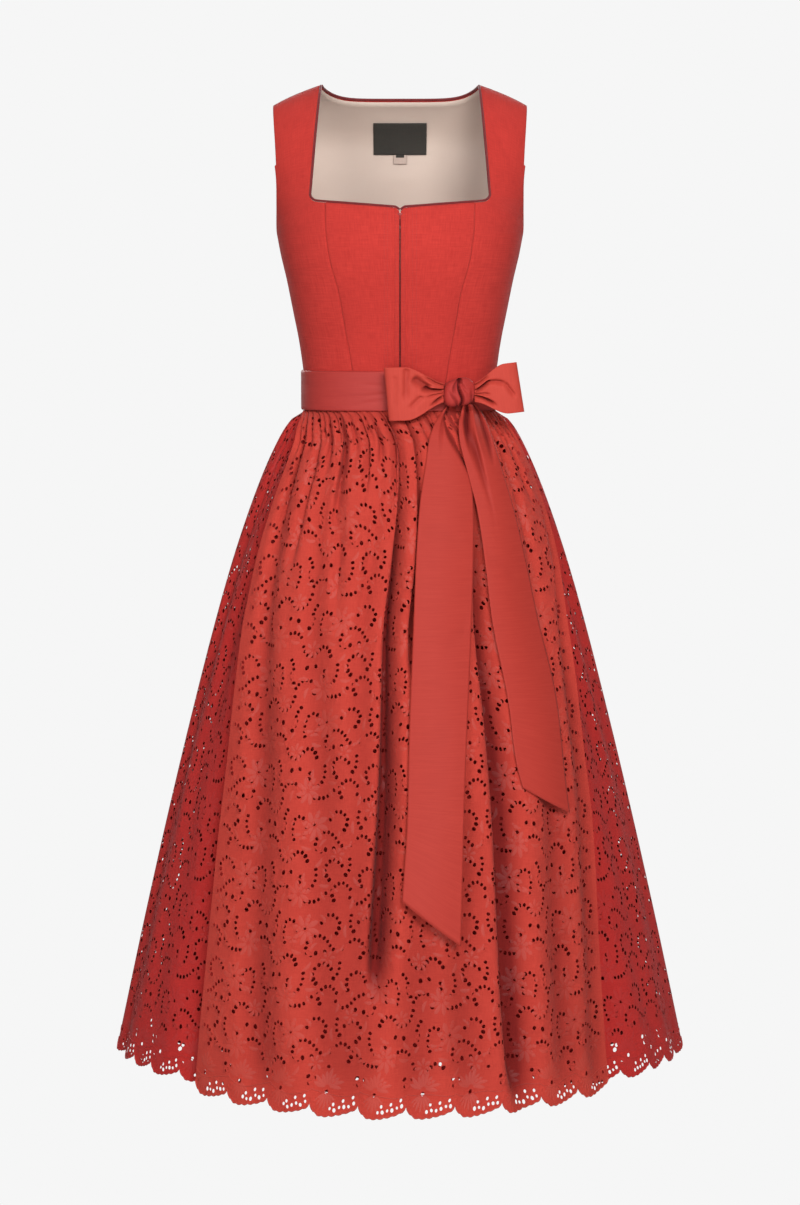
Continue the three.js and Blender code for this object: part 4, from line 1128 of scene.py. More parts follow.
FLOWERS = [
    # place across and down one repeat, petals, their length and width
    (58, 24, 8, 17, 8.5), (72, 106, 8, 15, 7.5), (22, 58, 6, 8, 5), (94, 60, 7, 9, 5.5),
]
LEAVES = [
    # place across and down one repeat, angle in degrees, length, width and bend
    (3, 40, 70, 15, 6, 0.5), (40, 40, 20, 13, 5, -0.4), (44, 62, 80, 15, 6, 0.5),
    (60, 52, 10, 15, 6, 0.4), (66, 80, 60, 14, 6, -0.5), (42, 74, 130, 12, 5, 0.5),
    (30, 94, 30, 15, 6, 0.5), (34, 112, -30, 12, 5, 0.4), (3, 16, 70, 16, 6, -0.4),
    (76, 34, 20, 13, 5.5, 0.4), (40, 6, 160, 13, 5.5, 0.5), (92, 106, 40, 14, 6, -0.5),
    (22, 28, 90, 8, 4, 0.2), (90, 18, 80, 7, 4, 0.2), (108, 96, 200, 14, 6, 0.4),
    (80, 40, 200, 13, 5.5, 0.3), (24, 98, 160, 8, 4, 0.2), (100, 36, 30, 10, 5, -0.4),
]


def embroidered(name, hang, width, length, across, edge, scallops, keep, made):
    """Flowers and leaves over a hung piece of lace, where keep says so, and its border's shells."""
    marks = np.array(
        [(x, y, k, 0) for k, (x, y, *_) in enumerate(FLOWERS)]
        + [(x, y, len(FLOWERS) + k, math.radians(angle)) for k, (x, y, angle, *_) in enumerate(LEAVES)]
    )
    petals = []
    for u, v, k, angle in spread_repeat(marks, width, length, across, BORDER):
        if k < len(FLOWERS):
            _, _, count, reach, wide = FLOWERS[int(k)]
            for i in range(count):
                turn = 2 * math.pi * i / count + 0.3 * k
                petals.append(petal(u, v, turn, 2.5, reach, wide, 0.25))
        else:
            _, _, _, reach, wide, bend = LEAVES[int(k) - len(FLOWERS)]
            petals.append(petal(u, v, angle, 0, reach, wide, bend))
    for start, end in scallops:
        span = end - start
        foot_u, foot_v = start + 0.3 * span, length - 10
        for i in range(7):
            reach = 0.2 * span + 6.5 - 1.6 * abs(i - 3)
            petals.append(petal(foot_u, foot_v, math.radians(38 + 17.5 * i), 2.5, reach, 4.2))
        for i in range(9):
            turn = math.radians(188 + 20.5 * i)
            petals.append(petal(foot_u, foot_v - 5, turn, 3, 17 + 3 * math.sin(2 * i), 6, 0.2))
    kept = []
    for points in petals:
        u, v = points[:, 0], points[:, 1]
        below = length + edge(np.clip(u, 0, width)) - 2.2
        inside = u.min() > 4 and u.max() < width - 4 and v.min() > 4 and (v < below).all()
        if inside and keep(u[0] / width, v[0]):
            kept.append(points)
    sewn = np.concatenate(kept)
    first = [3 * i + j for i in range(4) for j in range(2)]
    one = [(v, v + 1, v + 4, v + 3) for v in first]
    faces = [tuple(v + k * PETAL_POINTS for v in face) for k in range(len(kept)) for face in one]
    uv = np.array([(j / 2, i / 4) for i in range(5) for j in range(3)] * len(kept))
    placed = hang(sewn[:, 0] / width, sewn[:, 1], sewn[:, 2])
    return laid_mesh(name, placed, faces, uv, made, np.zeros(len(sewn)))


# Painted shade: the base colour is multiplied by this tint where a piece is marked as lying deep in
# its folds.
PAINTED_SHADE_TINT = (0.36, 0.2, 0.24, 1)


def lace_finish(name, dark, light, rim_colour):
    made = woven(finish(name, 0.88, sheen=0.03, specular=0.18), dark, light, 1400, 0.7, 0.5)
    tinted(made, "rim", "MIX", rim_colour)
    # Painted shade in the deep folds.
    tinted(made, "painted_shade", "MULTIPLY", PAINTED_SHADE_TINT)
    return made


def stitched_finish(name, dark, light):
    """Satin stitch: fine glossy threads across each petal, in its own UV."""
    made = finish(name, 0.6, sheen=0.03, specular=0.26)
    tree = made.node_tree
    uv = shader_node(tree, "UVMap").outputs["UV"]
    strands = cloud(tree, stretched(tree, uv, (3, 60, 1)), 1.0, 2.0)
    two_tone(made, strands, dark, light)
    embossed(made, strands, 0.5, 0.0003)
    # Painted shade in the deep folds.
    tinted(made, "painted_shade", "MULTIPLY", PAINTED_SHADE_TINT)
    return made


apron_lace = lace_finish("apron_lace", srgb(168, 48, 39), srgb(192, 66, 53), srgb(182, 58, 47))
apron_stitch = stitched_finish("apron_stitch", srgb(163, 51, 41), srgb(190, 68, 55))
# The skirt's lace and stitches are the apron's, given a darker and deeper red: painted shade for the
# skirt's shaded sides.
shaded_skirt_lace = lace_finish("shaded_skirt_lace", srgb(160, 30, 29), srgb(188, 47, 42), srgb(166, 44, 40))
shaded_skirt_stitch = stitched_finish("shaded_skirt_stitch", srgb(156, 32, 31), srgb(180, 46, 42))
# Rings round an eyelet: distance out from its edge, lift and share of stitched rim
FINE_RINGS = [(0, 0.05, 1), (0.45 * RIM, 0.5, 1), (RIM, 0, 0)]
PLAIN_RINGS = [(0, 0.25, 1), (RIM, 0, 0)]


FOLD_MARKS = (-480, -800, -1250)
FOLD_GROWTH = 200


def troughs(share, z, folds):
    """Depth of long folds at a place, and how far they lean over sideways: each row gives where its
    trough runs at three heights, how deep and wide it is, and the heights between which it shows."""
    top, middle, hem = FOLD_MARKS
    total = np.zeros((2, *share.shape))
    for at_top, at_middle, at_hem, depth, width, start, end in folds:
        upper = at_middle + (at_top - at_middle) * (z - middle) / (top - middle)
        lower = at_middle + (at_hem - at_middle) * (middle - z) / (middle - hem)
        line = np.where(z > middle, upper, lower)
        shown = ease(start - z, 0, FOLD_GROWTH) * ease(z - end, 0, FOLD_GROWTH / 2)
        wide = width * (0.85 + 0.75 * ease(-z, 520, 1000))
        sunk = depth * shown * np.exp(-(((share - line) / wide) ** 2))
        total += np.stack([sunk, -0.42 * sunk])
    return total


def gathers(share, z, top, places):
    """The same for the gathers below a band: each row gives place, depth, reach down, half width and
    how far it drifts sideways. They lean to either side in turn."""
    fall = top - z
    grown = 0.4 + 0.6 * ease(fall, 4, 28)
    total = np.zeros((2, *share.shape))
    for k, (place, depth, reach, width, drift) in enumerate(places):
        fading = 1 - ease(fall, 0.3 * reach, reach)
        wide = width * (1 + 0.9 * ease(fall, 0, reach))
        line = place + drift * fall / 200
        sunk = depth * grown * fading * np.exp(-(((share - line) / wide) ** 2))
        total += np.stack([sunk, (-0.4 if k % 3 else 0.4) * sunk])
    return total


def unstretched(hang, length):
    """The same hang with the cloth spread evenly along its folds, so that none of it is stretched."""
    shares, levels = np.linspace(0, 1, 700), np.linspace(-20, length + 30, 60)
    table = []
    for level in levels:
        line = hang(shares, np.full_like(shares, level), 0)
        run = np.concatenate([[0], np.cumsum(np.linalg.norm(np.diff(line, axis=0), axis=1))])
        table.append(np.interp(shares, run / run[-1], shares))
    table = np.array(table)

    def spread(share, down, lift):
        row = np.clip((down - levels[0]) / (levels[1] - levels[0]), 0, len(levels) - 1.001)
        column = np.clip(share * (len(shares) - 1), 0, len(shares) - 1.001)
        r, c = row.astype(int), column.astype(int)
        upper = table[r, c] + (table[r, c + 1] - table[r, c]) * (column - c)
        lower = table[r + 1, c] + (table[r + 1, c + 1] - table[r + 1, c]) * (column - c)
        return hang(upper + (lower - upper) * (row - r), down, lift)
    return spread


# ----------------------------------------
# Skirt
# A full gathered skirt of the lace, sewn to the bodice under the band: a back half with its folds
# all round, and a front half that lies flat under the apron and shows only at the sides.
# ----------------------------------------
SKIRT = [
    # height, half width, depth to the front, depth to the back, tuck of the sides under the apron
    (-394, 122.6, 88.6, 83.8, 0), (-418, 122.6, 88.4, 84.4, 0), (-430, 140, 97.5, 100, 8),
    (-457, 157.6, 106.4, 118, 9), (-509, 181.1, 120, 140, 9), (-586, 208.8, 136, 165, 7),
    (-665, 232.7, 149.6, 187, 6), (-770, 260.8, 165.6, 212, 3), (-928, 300, 188, 244, 0),
    (-1088, 337, 209.4, 273, 0), (-1258, 374, 231, 300, 0),
]
SKIRT_TOP, HEM = -394, -1241
GATHER_TOP = -412
SKIRT_LENGTH = SKIRT_TOP - HEM


def skirt_point(share, z, inset, side, slide):
    """Points of one half of the skirt, share round it from the wearer's right to left, pressed in by
    inset and slid along by slide. The sides of the front half are tucked in under the apron."""
    turn = math.pi * (share - 0.5)
    seam = ease(math.pi / 2 - np.abs(turn), 0, 0.12)
    turn = turn + seam * slide / along(SKIRT, 1, z)
    tucked = folded = np.where(inset > 0, inset * seam, inset)
    if side < 0:
        tucked = folded + ease(1.5 - np.abs(turn), 0, 0.24) * along(SKIRT, 4, z)
    x = (along(SKIRT, 1, z) - tucked) * np.sin(turn)
    y = (along(SKIRT, 2 if side < 0 else 3, z) - folded) * np.cos(turn) - SEAM
    return np.stack([x, side * y, z], axis=-1)


def spread_gathers(count, seed, depth):
    """Rows of gathers at uneven places all along a cut, of uneven depth and reach."""
    rng = np.random.default_rng(seed)
    places = (np.arange(count) + 0.5 + rng.uniform(-0.3, 0.3, count)) / count
    return [
        (place, depth * rng.uniform(0.7, 1.3), rng.uniform(60, 300), 0.24 / count,
         rng.uniform(-0.01, 0.01))
        for place in places
    ]


def skirt_hang(side, gather_rows, folds, limit):
    """How one half of the skirt hangs, with no fold deeper than limit."""
    def hang(share, down, lift):
        z = SKIRT_TOP - down
        depth, slide = gathers(share, z, GATHER_TOP, gather_rows) * ease(down, 10, 40)
        deeper, further = troughs(share, z, folds)
        depth, slide = depth + deeper, np.clip(slide + further, -8, 8)
        ripple = 0.5 * np.sin(share * 90 + z / 31) * ease(down, 40, 120)
        depth = limit * np.tanh(depth / limit) + ripple
        return skirt_point(share, z, np.maximum(depth, 0.3) - lift, side, slide)
    return hang


def even_scallops(width, count):
    """Where the scallops of an evenly scalloped hem start and end, and its drop across the cut."""
    spans = [(k * width / count, (k + 1) * width / count) for k in range(count)]
    return spans, lambda u: scalloped(u / width * count)


def eyelets_over(width, length, across, border, top, edge, scallops):
    """All eyelets of a cut with so many repeats across, below its top."""
    repeated_eyelets = spread_repeat(repeat_eyelets(), width, length, across, border)
    eyelets = clear_of_others(repeated_eyelets, border_marks(length, scallops, edge))
    return eyelets[(eyelets[:, 0] > SIDE_MARGIN) & (eyelets[:, 0] < width - SIDE_MARGIN)
                   & (eyelets[:, 1] > top)]


BACK_WIDTH = 1120
BACK_FOLDS = []
for k in range(9):
    place, drift = (k + 0.5 + 0.22 * math.sin(k * 2.4)) / 9, 0.018 * math.sin(k * 1.7 + 1)
    deep = 19 * (1 + 0.3 * math.sin(k * 3.1)) * (0.5 if k in (0, 8) else 1)
    start = -450 - 60 * (k % 3)
    BACK_FOLDS += [
        (place - drift, place, place + drift, deep, 0.03, start, -1500),
        (place - drift + 0.056, place + 0.056, place + drift + 0.05, 0.4 * deep, 0.018, start, -1500),
    ]
back_scallops, back_edge = even_scallops(BACK_WIDTH, 15)
back_hang = unstretched(skirt_hang(1, spread_gathers(40, 3, 14), BACK_FOLDS, 30), SKIRT_LENGTH)
back_eyelets = eyelets_over(BACK_WIDTH, SKIRT_LENGTH, 10, BORDER, 30, back_edge, back_scallops)
back_eyelets[:, 2] *= 1 - 0.26 * ease(np.abs(back_eyelets[:, 0] / BACK_WIDTH - 0.5), 0.36, 0.43)
skirt_back, back_trim = lace_piece(
    "skirt_back_lace", "skirt_back", back_hang, BACK_WIDTH, SKIRT_LENGTH, back_edge, 3.4,
    PLAIN_RINGS, back_eyelets, shaded_skirt_lace, shaded_skirt_stitch,
)
back_trim.append(embroidered(
    "skirt_back_embroidery", back_hang, BACK_WIDTH, SKIRT_LENGTH, 10, back_edge, back_scallops,
    lambda share, v: v > 60, shaded_skirt_stitch,
))

FRONT_WIDTH = 1010
FRONT_NOTCHES = [0.5 + 0.5 * math.copysign(abs(2 * k / 5 - 1) ** 0.6, 2 * k / 5 - 1) for k in range(6)]
FINE_NOTCHES = np.interp(np.arange(0, 5.01, 1 / 3), range(6), FRONT_NOTCHES)
FRONT_FOLDS = [
    (0.06, 0.055, 0.05, 11, 0.024, -480, -1500), (0.15, 0.14, 0.14, 8, 0.024, -520, -1500),
    (0.87, 0.87, 0.87, 9, 0.024, -500, -1500), (0.945, 0.945, 0.945, 10, 0.024, -480, -1500),
    (0.3, 0.3, 0.3, 6, 0.03, -600, -1500), (0.7, 0.7, 0.7, 6, 0.03, -600, -1500),
]


def front_edge(u):
    """Drop of the front's hem, whose scallops are longer in the middle than at the sides."""
    return scalloped(np.interp(u / FRONT_WIDTH, FINE_NOTCHES, np.arange(16)) % 15)


def beside_apron(share, v):
    """Where the front half shows: at its sides, and along its border below the apron."""
    return (np.abs(share - 0.5) > 0.21) | (v > SKIRT_LENGTH - 30)


front_scallops = [(FRONT_WIDTH * a, FRONT_WIDTH * b) for a, b in zip(FINE_NOTCHES, FINE_NOTCHES[1:])]
front_hang = unstretched(skirt_hang(-1, spread_gathers(34, 5, 5), FRONT_FOLDS, 14), SKIRT_LENGTH)
front_eyelets = eyelets_over(FRONT_WIDTH, SKIRT_LENGTH, 9, BORDER, 30, front_edge, front_scallops)
front_eyelets = front_eyelets[beside_apron(front_eyelets[:, 0] / FRONT_WIDTH, front_eyelets[:, 1])]
skirt_front, front_trim = lace_piece(
    "skirt_front_lace", "skirt_front", front_hang, FRONT_WIDTH, SKIRT_LENGTH, front_edge, 3.8,
    PLAIN_RINGS, front_eyelets, shaded_skirt_lace, shaded_skirt_stitch,
)
front_trim.append(embroidered(
    "skirt_front_embroidery", front_hang, FRONT_WIDTH, SKIRT_LENGTH, 9, front_edge, front_scallops,
    beside_apron, shaded_skirt_stitch,
))

# The plain underskirt hangs straighter inside the lace, clear of its folds, and ends above the
# border. No single thread of it shows.
under_cotton = woven(finish("under_cotton", 0.9, specular=0.1),
                     srgb(122, 22, 24), srgb(146, 32, 32), 0.0, 0.2, 0.3)


UNDER_HEM = -1224


def under_place(across, down):
    """A tube all round, with soft waves towards its hem."""
    turn = 2 * math.pi * across
    z = GATHER_TOP + (UNDER_HEM - GATHER_TOP) * down
    hung = ease(-z, 412, 480)
    front = np.cos(turn) < 0
    waved = 4 * np.sin(7 * turn) * ease(-z, 500, 900)
    x = (along(SKIRT, 1, z) - 3 - 24 * hung - 9 * ease(-z, 700, 1150) - waved) * np.sin(turn)
    deep = np.where(front, along(SKIRT, 2, z) - 3 - 18 * hung, along(SKIRT, 3, z) - 3 - 36 * hung)
    return np.stack([x, (deep - waved) * np.cos(turn), z], axis=-1)


under = cloth("skirt_under_cotton", 24, 84, under_place, (1.7, 0.82), 0.5)
fitted(under, under_cotton)


# ----------------------------------------
# Apron
# One width of the same lace, gathered tightly into the band and falling in deep uneven folds in
# front of the skirt. Its side edges are plain narrow hems and its lower edge is the scalloped border.
# ----------------------------------------
APRON = [
    # height, half width, depth, x of the left edge, x of the right edge
    (-417.3, 128.3, 95.2, -124, 122), (-430, 143.5, 107, -127, 132), (-457, 161.3, 121.5, -132, 149),
    (-527, 190.5, 147, -156.5, 178), (-600, 216.5, 170, -178.5, 199.5), (-682, 239, 191, -196.3, 212),
    (-770, 260, 212, -208.5, 226), (-850, 275, 229.5, -217.4, 236.5), (-928, 288.5, 246, -226, 245),
    (-1043, 304.5, 269.5, -237.5, 252), (-1145, 315, 290, -247.5, 256.5),
    (-1263, 324, 312, -257.5, 264),
]
APRON_FOLDS = [
    # place across near the top, half-way and at the hem, depth, half width, heights from and to
    (0.05, 0.115, 0.19, 11, 0.03, -430, -1300), (0.187, 0.28, 0.352, 10, 0.032, -440, -1300),
    (0.262, 0.33, 0.36, 8, 0.016, -430, -700), (0.38, 0.375, 0.41, 9, 0.024, -430, -1300),
    (0.452, 0.448, 0.44, 34, 0.0125, -370, -1150), (0.51, 0.502, 0.5, 26, 0.008, -380, -760),
    (0.566, 0.556, 0.55, 32, 0.011, -380, -860), (0.52, 0.53, 0.53, 12, 0.028, -900, -1300),
    (0.58, 0.61, 0.64, 12, 0.03, -760, -1300), (0.655, 0.712, 0.76, 27, 0.018, -430, -1300),
    (0.85, 0.86, 0.88, 11, 0.028, -540, -1300), (0.98, 0.97, 0.97, 8, 0.02, -480, -1300),
]
APRON_GATHERS = [
    # place across, depth, reach below the band, half width, drift to the right over 200 mm
    (0.02, 9, 70, 0.006, 0), (0.052, 13, 190, 0.007, 0.006), (0.09, 9, 60, 0.006, 0.004),
    (0.126, 15, 230, 0.008, 0.012), (0.158, 9, 50, 0.006, 0), (0.186, 13, 90, 0.006, 0.008),
    (0.22, 9, 50, 0.005, 0), (0.247, 16, 200, 0.008, 0.014), (0.289, 9, 70, 0.006, 0.004),
    (0.326, 13, 130, 0.006, 0.01), (0.352, 9, 50, 0.005, 0), (0.384, 12, 90, 0.006, 0.004),
    (0.42, 16, 180, 0.007, 0.01), (0.45, 9, 50, 0.005, 0), (0.515, 12, 90, 0.006, 0),
    (0.59, 14, 120, 0.007, -0.002), (0.618, 9, 60, 0.005, 0), (0.65, 15, 190, 0.007, 0.004),
    (0.69, 10, 80, 0.006, 0), (0.722, 15, 150, 0.007, 0.002), (0.752, 9, 60, 0.005, 0),
    (0.786, 13, 120, 0.007, -0.002), (0.82, 9, 80, 0.006, 0), (0.856, 15, 210, 0.008, -0.004),
    (0.89, 9, 60, 0.006, 0), (0.922, 13, 130, 0.007, -0.004), (0.955, 9, 70, 0.006, -0.002),
    (0.985, 7, 50, 0.006, 0),
]
APRON_TOP = -417.3
APRON_WIDTH = 660
APRON_LENGTH = APRON_TOP - HEM + 5


def apron_puff(z):
    """How far the ridges between the gathers stand out below the band."""
    return 3.2 * ease(APRON_TOP - z, 4, 26) * (1 - ease(APRON_TOP - z, 150, 420))


def apron_folds(share, down, lift):
    """How the apron hangs: its folds reach in as far as the skirt leaves room."""
    z = APRON_TOP - down
    depth, slide = gathers(share, z, APRON_TOP, APRON_GATHERS) + troughs(share, z, APRON_FOLDS)
    puff = apron_puff(z)
    room = along(APRON, 2, z) - along(SKIRT, 2, z) - 1.4 + puff
    depth = room * np.tanh(depth / room)
    ripple = 0.6 * np.sin(share * 43 + z / 37) * ease(down, 60, 160)
    depth = np.maximum(depth + ripple, 0) - puff - lift
    half = along(APRON, 1, z)
    left, right = np.arcsin(along(APRON, 3, z) / half), np.arcsin(along(APRON, 4, z) / half)
    free = ease(share, 0, 0.03) * ease(1 - share, 0, 0.03)
    turn = left + (right - left) * share + np.clip(slide, -11, 11) * free / half
    x, y = (half - depth) * np.sin(turn), -(along(APRON, 2, z) - depth) * np.cos(turn)
    return np.stack([x, y, z], axis=-1)


def apron_front(x, z):
    """Depth of the apron's smooth front, without its folds."""
    return -along(APRON, 2, z) * np.sqrt(np.maximum(0, 1 - (x / along(APRON, 1, z)) ** 2))


apron_hang = unstretched(apron_folds, APRON_LENGTH)
apron_scallops, apron_edge = even_scallops(APRON_WIDTH, 10)
apron_eyelets = eyelets_over(APRON_WIDTH, APRON_LENGTH, 6, 36, 7, apron_edge, apron_scallops)
apron, apron_trim = lace_piece(
    "apron_front_lace", "apron", apron_hang, APRON_WIDTH, APRON_LENGTH, apron_edge, 3.1,
    FINE_RINGS, apron_eyelets, apron_lace, apron_stitch,
)
apron_trim.append(embroidered(
    "apron_embroidery", apron_hang, APRON_WIDTH, APRON_LENGTH, 6, apron_edge, apron_scallops,
    lambda share, v: v > 10, apron_stitch,
))
# Painted shade: the apron, its cords and its embroidery are darkened the deeper they sink into a fold
# towards the skirt behind.
for piece in (apron, *apron_trim):
    x, y, z = positions(piece.data).T / MM
    room = np.minimum(along(APRON, 2, z) - along(SKIRT, 2, z), 24)
    sunk = np.clip((y - apron_front(x, z)) / (0.85 * room), 0, 1) ** 1.6
    mark(piece, "painted_shade", sunk * ease(APRON_TOP - z, 0, 10))


# ----------------------------------------
# Bow and streamers
# A bow of the band's ribbon, tied over it left of the middle: two loops pinched into a wrapped
# knot, with creases that run out of it, and two ends of unequal length cut on the slant.
# ----------------------------------------
def bow_ribbon(name, dark, light, painted_shade_tint):
    made = ribbed(finish(name, 0.62, sheen=0.02, specular=0.16), dark, light)
    # Painted shade in the ribbon's creases.
    tinted(made, "painted_shade", "MULTIPLY", painted_shade_tint)
    return made


# All three are the band's taffeta. The loops get lighter colours than the band: painted light. The
# knot's tint is the deepest: stronger painted shade in its grooves.
lit_bow_taffeta = bow_ribbon("lit_bow_taffeta", srgb(172, 55, 45), srgb(192, 69, 55), (0.36, 0.2, 0.26, 1))
end_taffeta = bow_ribbon("end_taffeta", srgb(157, 45, 37), srgb(176, 58, 47), (0.36, 0.2, 0.26, 1))
knot_taffeta = bow_ribbon("knot_taffeta", srgb(154, 43, 40), srgb(174, 55, 49), (0.3, 0.16, 0.22, 1))


def pressed(across, down, creases):
    """Depth of straight creases on a ribbon: each runs between two places (across, down), with its
    half width at the start and at the end, and its depth."""
    total = np.zeros_like(across)
    for (a0, d0), (a1, d1), wide0, wide1, depth in creases:
        along_x, along_y = a1 - a0, d1 - d0
        length = math.hypot(along_x, along_y)
        run = ((across - a0) * along_x + (down - d0) * along_y) / length ** 2
        aside = (-(across - a0) * along_y + (down - d0) * along_x) / length
        width = wide0 + (wide1 - wide0) * np.clip(run, 0, 1)
        ends = ease(run, -0.12, 0.05) * (1 - ease(run, 0.7, 1.1))
        total += depth * ends * np.exp(-((aside / width) ** 2))
    return total


LOOPS = {
    # root at the knot and tip: x, y, z, height and lean, then how far the front layer stands out,
    # and the length of the cut in metres
    "bow_loop_right": ((56.5, -98, -393, 24, 0), (-17, -113, -395, 66, -3), 12, 0.148),
    "bow_loop_left": ((91.6, -96, -393, 24, 0), (151, -98, -386, 62, -5), 11, 0.115),
}
LOOP_CREASES = {
    # on the front layer, from the knot outwards: places are (across the ribbon, share to the tip)
    "bow_loop_right": [
        ((0.4, 0.0), (0.43, 0.42), 0.05, 0.05, 13), ((0.34, 0.3), (0.2, 0.58), 0.08, 0.12, 7),
        ((0.68, 0.0), (0.94, 0.24), 0.045, 0.05, 10), ((0.14, 0.02), (0.06, 0.36), 0.04, 0.06, 4),
        ((0.55, 0.04), (0.64, 0.34), 0.035, 0.05, 3), ((0.6, 0.44), (0.8, 0.64), 0.05, 0.06, 3),
        ((0.06, 0.66), (0.66, 0.7), 0.045, 0.055, 4), ((0.2, 0.86), (0.8, 0.9), 0.04, 0.05, 1.5),
    ],
    "bow_loop_left": [
        ((0.5, 0.0), (0.22, 0.34), 0.045, 0.05, 11), ((0.72, 0.0), (0.88, 0.44), 0.05, 0.05, 11),
        ((0.24, 0.32), (0.42, 0.7), 0.04, 0.05, 5), ((0.42, 0.7), (0.7, 0.86), 0.04, 0.045, 4),
        ((0.6, 0.04), (0.62, 0.36), 0.035, 0.05, 3), ((0.14, 0.04), (0.06, 0.34), 0.04, 0.05, 4),
    ],
}
for name, (root, tip, bulge, cut_length) in LOOPS.items():
    root, tip = np.array(root, float), np.array(tip, float)
    run = tip[:2] - root[:2]
    outward = np.array([run[1], -run[0]]) / np.linalg.norm(run)
    outward *= -np.sign(outward[1])

    def loop_folds(across, down):
        """Angle round the loop, share to its tip, how much of it is front, and its creases' depth."""
        angle = (2 * down - 1) * (math.pi - 0.35)
        share = 0.5 + 0.5 * np.cos(angle)
        return angle, share, ease(angle, -0.15, 0.5), pressed(across, share, LOOP_CREASES[name])

    def loop_place(across, down):
        angle, share, front, folds = loop_folds(across, down)
        reach = np.where(angle > 0, bulge, 0.45 * bulge) * np.sin(angle)
        reach = reach - folds * front * ease(reach, 0, 4) + 0.3 * folds * (1 - front)
        plan = root[:2] + run * share[:, None] + outward * reach[:, None]
        height = root[3] + (tip[3] - root[3]) * ease(share, 0, 0.72)
        up = 0.5 - across
        z = root[2] + (tip[2] - root[2]) * share + up * height + 0.4 * np.maximum(folds, 0) * front
        x = plan[:, 0] + 2 * up * (root[4] + (tip[4] - root[4]) * share)
        return np.stack([x, plan[:, 1], z], axis=-1)

    # Painted shade: the loop's front darkens along its pressed creases.
    def loop_painted_shade(across, down):
        _, _, front, folds = loop_folds(across, down)
        return np.clip(folds * front / 10, 0, 1) ** 1.5

    loop = cloth(name + "_ribbon", 100, 52, loop_place, (0.066, 0.17), 0.7,
                 (*(root[:2] + run * 0.5), 0), loop_painted_shade)
    fitted(loop, lit_bow_taffeta, name)

# The knot is one turn of the ribbon: its edge runs down the front in an S and laps over the rest
deselect()
bpy.ops.mesh.primitive_uv_sphere_add(segments=96, ring_count=60, radius=1)
knot = bpy.context.object
knot.name = knot.data.name = "bow_knot_wrapped"
squared = positions(knot.data)
squared = squared / np.linalg.norm(squared, ord=3.2, axis=1, keepdims=True)
x, z = squared[:, 0], squared[:, 2]
line = x - 0.04 + 0.17 * np.sin(2.4 * z + 0.3) + 0.06 * z
front = ease(-squared[:, 1], -0.1, 0.5)
sunk = 8 * np.exp(-(((line + 0.035) / 0.085) ** 2))
sunk -= 3 * ease(line, -0.02, 0.07) * (1 - ease(line, 0.1, 0.9))
sunk += 4 * np.exp(-(((line + 0.42 - 0.25 * z) / 0.085) ** 2)) * ease(z, -0.5, 0.4)
sunk += 3.4 * np.exp(-(((line + 0.7 + 0.3 * z) / 0.09) ** 2)) * ease(-z, -0.3, 0.4)
sunk += 4.4 * np.exp(-(((line - 0.44 + 0.5 * z) / 0.09) ** 2)) * ease(z, -0.2, 0.5)
sunk += 3.4 * np.exp(-(((line - 0.74 - 0.25 * z) / 0.085) ** 2)) * ease(-z, -0.4, 0.3)
shaped = squared * (19.5, 12.5, 17.5)
shaped[:, 1] += sunk * front
shaped[:, 0] += 1.8 * z - 1.2 * z * z * np.sign(x)
shaped[:, 2] += 1.4 * np.sin(3.2 * x + 0.6) * np.abs(z)
knot.data.vertices.foreach_set("co", (shaped * MM).ravel())
# Painted shade: the knot's colour darkens along its grooves and folds.
mark(knot, "painted_shade", np.clip(sunk * front / 5, 0, 1) ** 1.5)
knot.data.transform(Matrix.Rotation(0.2, 4, "Z"))
knot.data.transform(Matrix.Translation(Vector((73.7, -95.7, -393)) * MM))
for corner in knot.data.uv_layers[0].data:
    corner.uv = (corner.uv[0] * 0.1, corner.uv[1] * 0.06)
smooth(knot)
fitted(knot, knot_taffeta, "bow_knot")

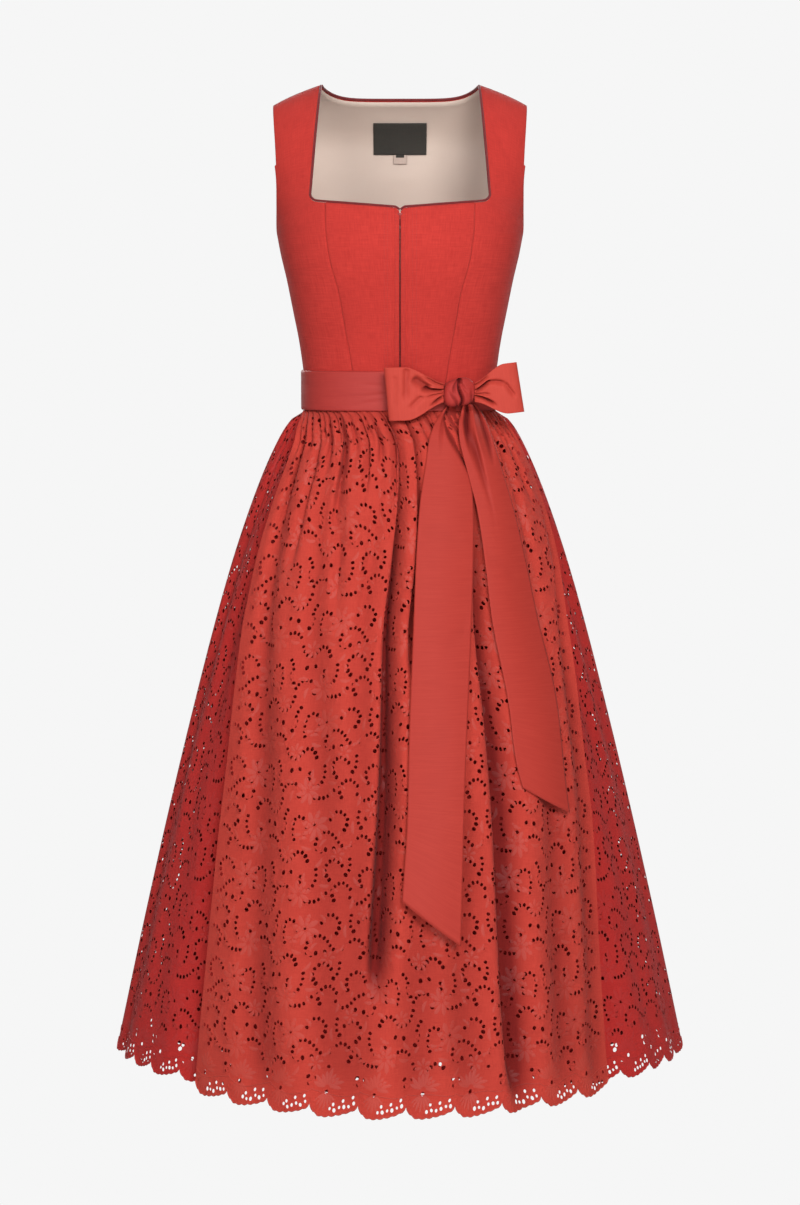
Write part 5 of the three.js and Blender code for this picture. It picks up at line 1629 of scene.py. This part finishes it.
STREAMERS = {
    # height, left and right edge, then how far it hangs off the apron at the top and below, how far
    # it reaches to the knot, its slant, and the length of its cut in metres
    "streamer_long": ([
        (-410.8, 58, 70), (-420, 51, 73), (-432, 43, 80), (-453, 36.1, 82.4), (-480, 32.2, 85.7),
        (-528, 24.7, 91.1), (-600, 19.6, 90.9), (-692, 15.9, 87.6), (-800, 11.4, 82.5),
        (-916, 8.5, 77.6), (-1005, 2.4, 74),
    ], 5, 8, 5, 55, 0.65),
    "streamer_short": ([
        (-408.3, 79, 95), (-420, 76.5, 104), (-432, 73.5, 110), (-455, 75, 118), (-498, 86, 131),
        (-540, 96.5, 143.4), (-605, 106, 158.3), (-675, 114.5, 173), (-769, 133.4, 196),
        (-842, 143, 207), (-877, 151.7, 212),
    ], 11, 3.5, 14, 37, 0.51),
}
STREAMER_CREASES = {
    # places are (share across, share down)
    "streamer_long": [
        ((0.3, -0.02), (0.24, 0.08), 0.05, 0.1, 3.5), ((0.1, 0.3), (0.8, 0.33), 0.02, 0.02, 0.5),
        ((0.9, 0.5), (0.5, 0.55), 0.02, 0.02, 0.4), ((0.2, 0.72), (0.7, 0.7), 0.02, 0.02, 0.4),
    ],
    "streamer_short": [
        ((0.36, -0.02), (0.16, 0.1), 0.06, 0.07, 8), ((0.58, -0.02), (0.5, 0.16), 0.08, 0.1, -4),
        ((0.8, -0.02), (0.86, 0.18), 0.06, 0.08, 7), ((0.24, 0.08), (0.5, 0.2), 0.05, 0.12, 6),
        ((0.1, 0.45), (0.7, 0.5), 0.02, 0.02, 0.5),
    ],
}
# The long end's right part is folded under below the knot: where that fold runs, as a share across
TUCK = [(-410, 0.12), (-440, 0.4), (-474, 0.8), (-526, 1.15), (-1010, 1.15)]


for name, (table, offset_top, offset_low, knot_reach, end_drop, cut_length) in STREAMERS.items():
    top, end = table[0][0], table[-1][0]

    def streamer_folds(across, down):
        """Height, depth of the creases and how far the cloth is folded under."""
        z = top + (end - top) * down ** 1.15
        return z, pressed(across, down, STREAMER_CREASES[name]), across - along(TUCK, 1, z)

    def streamer_place(across, down):
        z, folds, past_tuck = streamer_folds(across, down)
        left, right = along(table, 1, z), along(table, 2, z)
        here = z - ease(-z, -end - 140, -end) * end_drop * across
        x = left + (right - left) * across
        offset = offset_top + (offset_low - offset_top) * ease(top - z, 60, 220)
        settle = knot_reach * np.exp((z - top) / 14)
        swell = 3 * np.sin(math.pi * across) + 1.5 * np.sin(z / 60) * np.cos(math.pi * across)
        if name == "streamer_long":
            folds = folds + 11 * ease(past_tuck, 0, 0.08) * ease(-z, 404, 424)
        y = apron_front(x, here) - apron_puff(here) - offset - settle - swell + folds
        return np.stack([x, y, here], axis=-1)

    # Painted shade: the streamers darken along their creases, and the long one darkens where its right
    # part is folded under below the knot.
    def streamer_painted_shade(across, down):
        z, folds, past_tuck = streamer_folds(across, down)
        dark = np.maximum(folds, 0) / 9
        if name == "streamer_long":
            dark = dark + ease(past_tuck, -0.02, 0.05) * ease(-z, 400, 420) * 0.55
        return np.clip(dark, 0, 1)

    streamer = cloth(name + "_ribbon", 130, 34, streamer_place, (0.07, (top - end) * MM), 0.7,
                     painted_shade=streamer_painted_shade)
    fitted(streamer, end_taffeta, name)
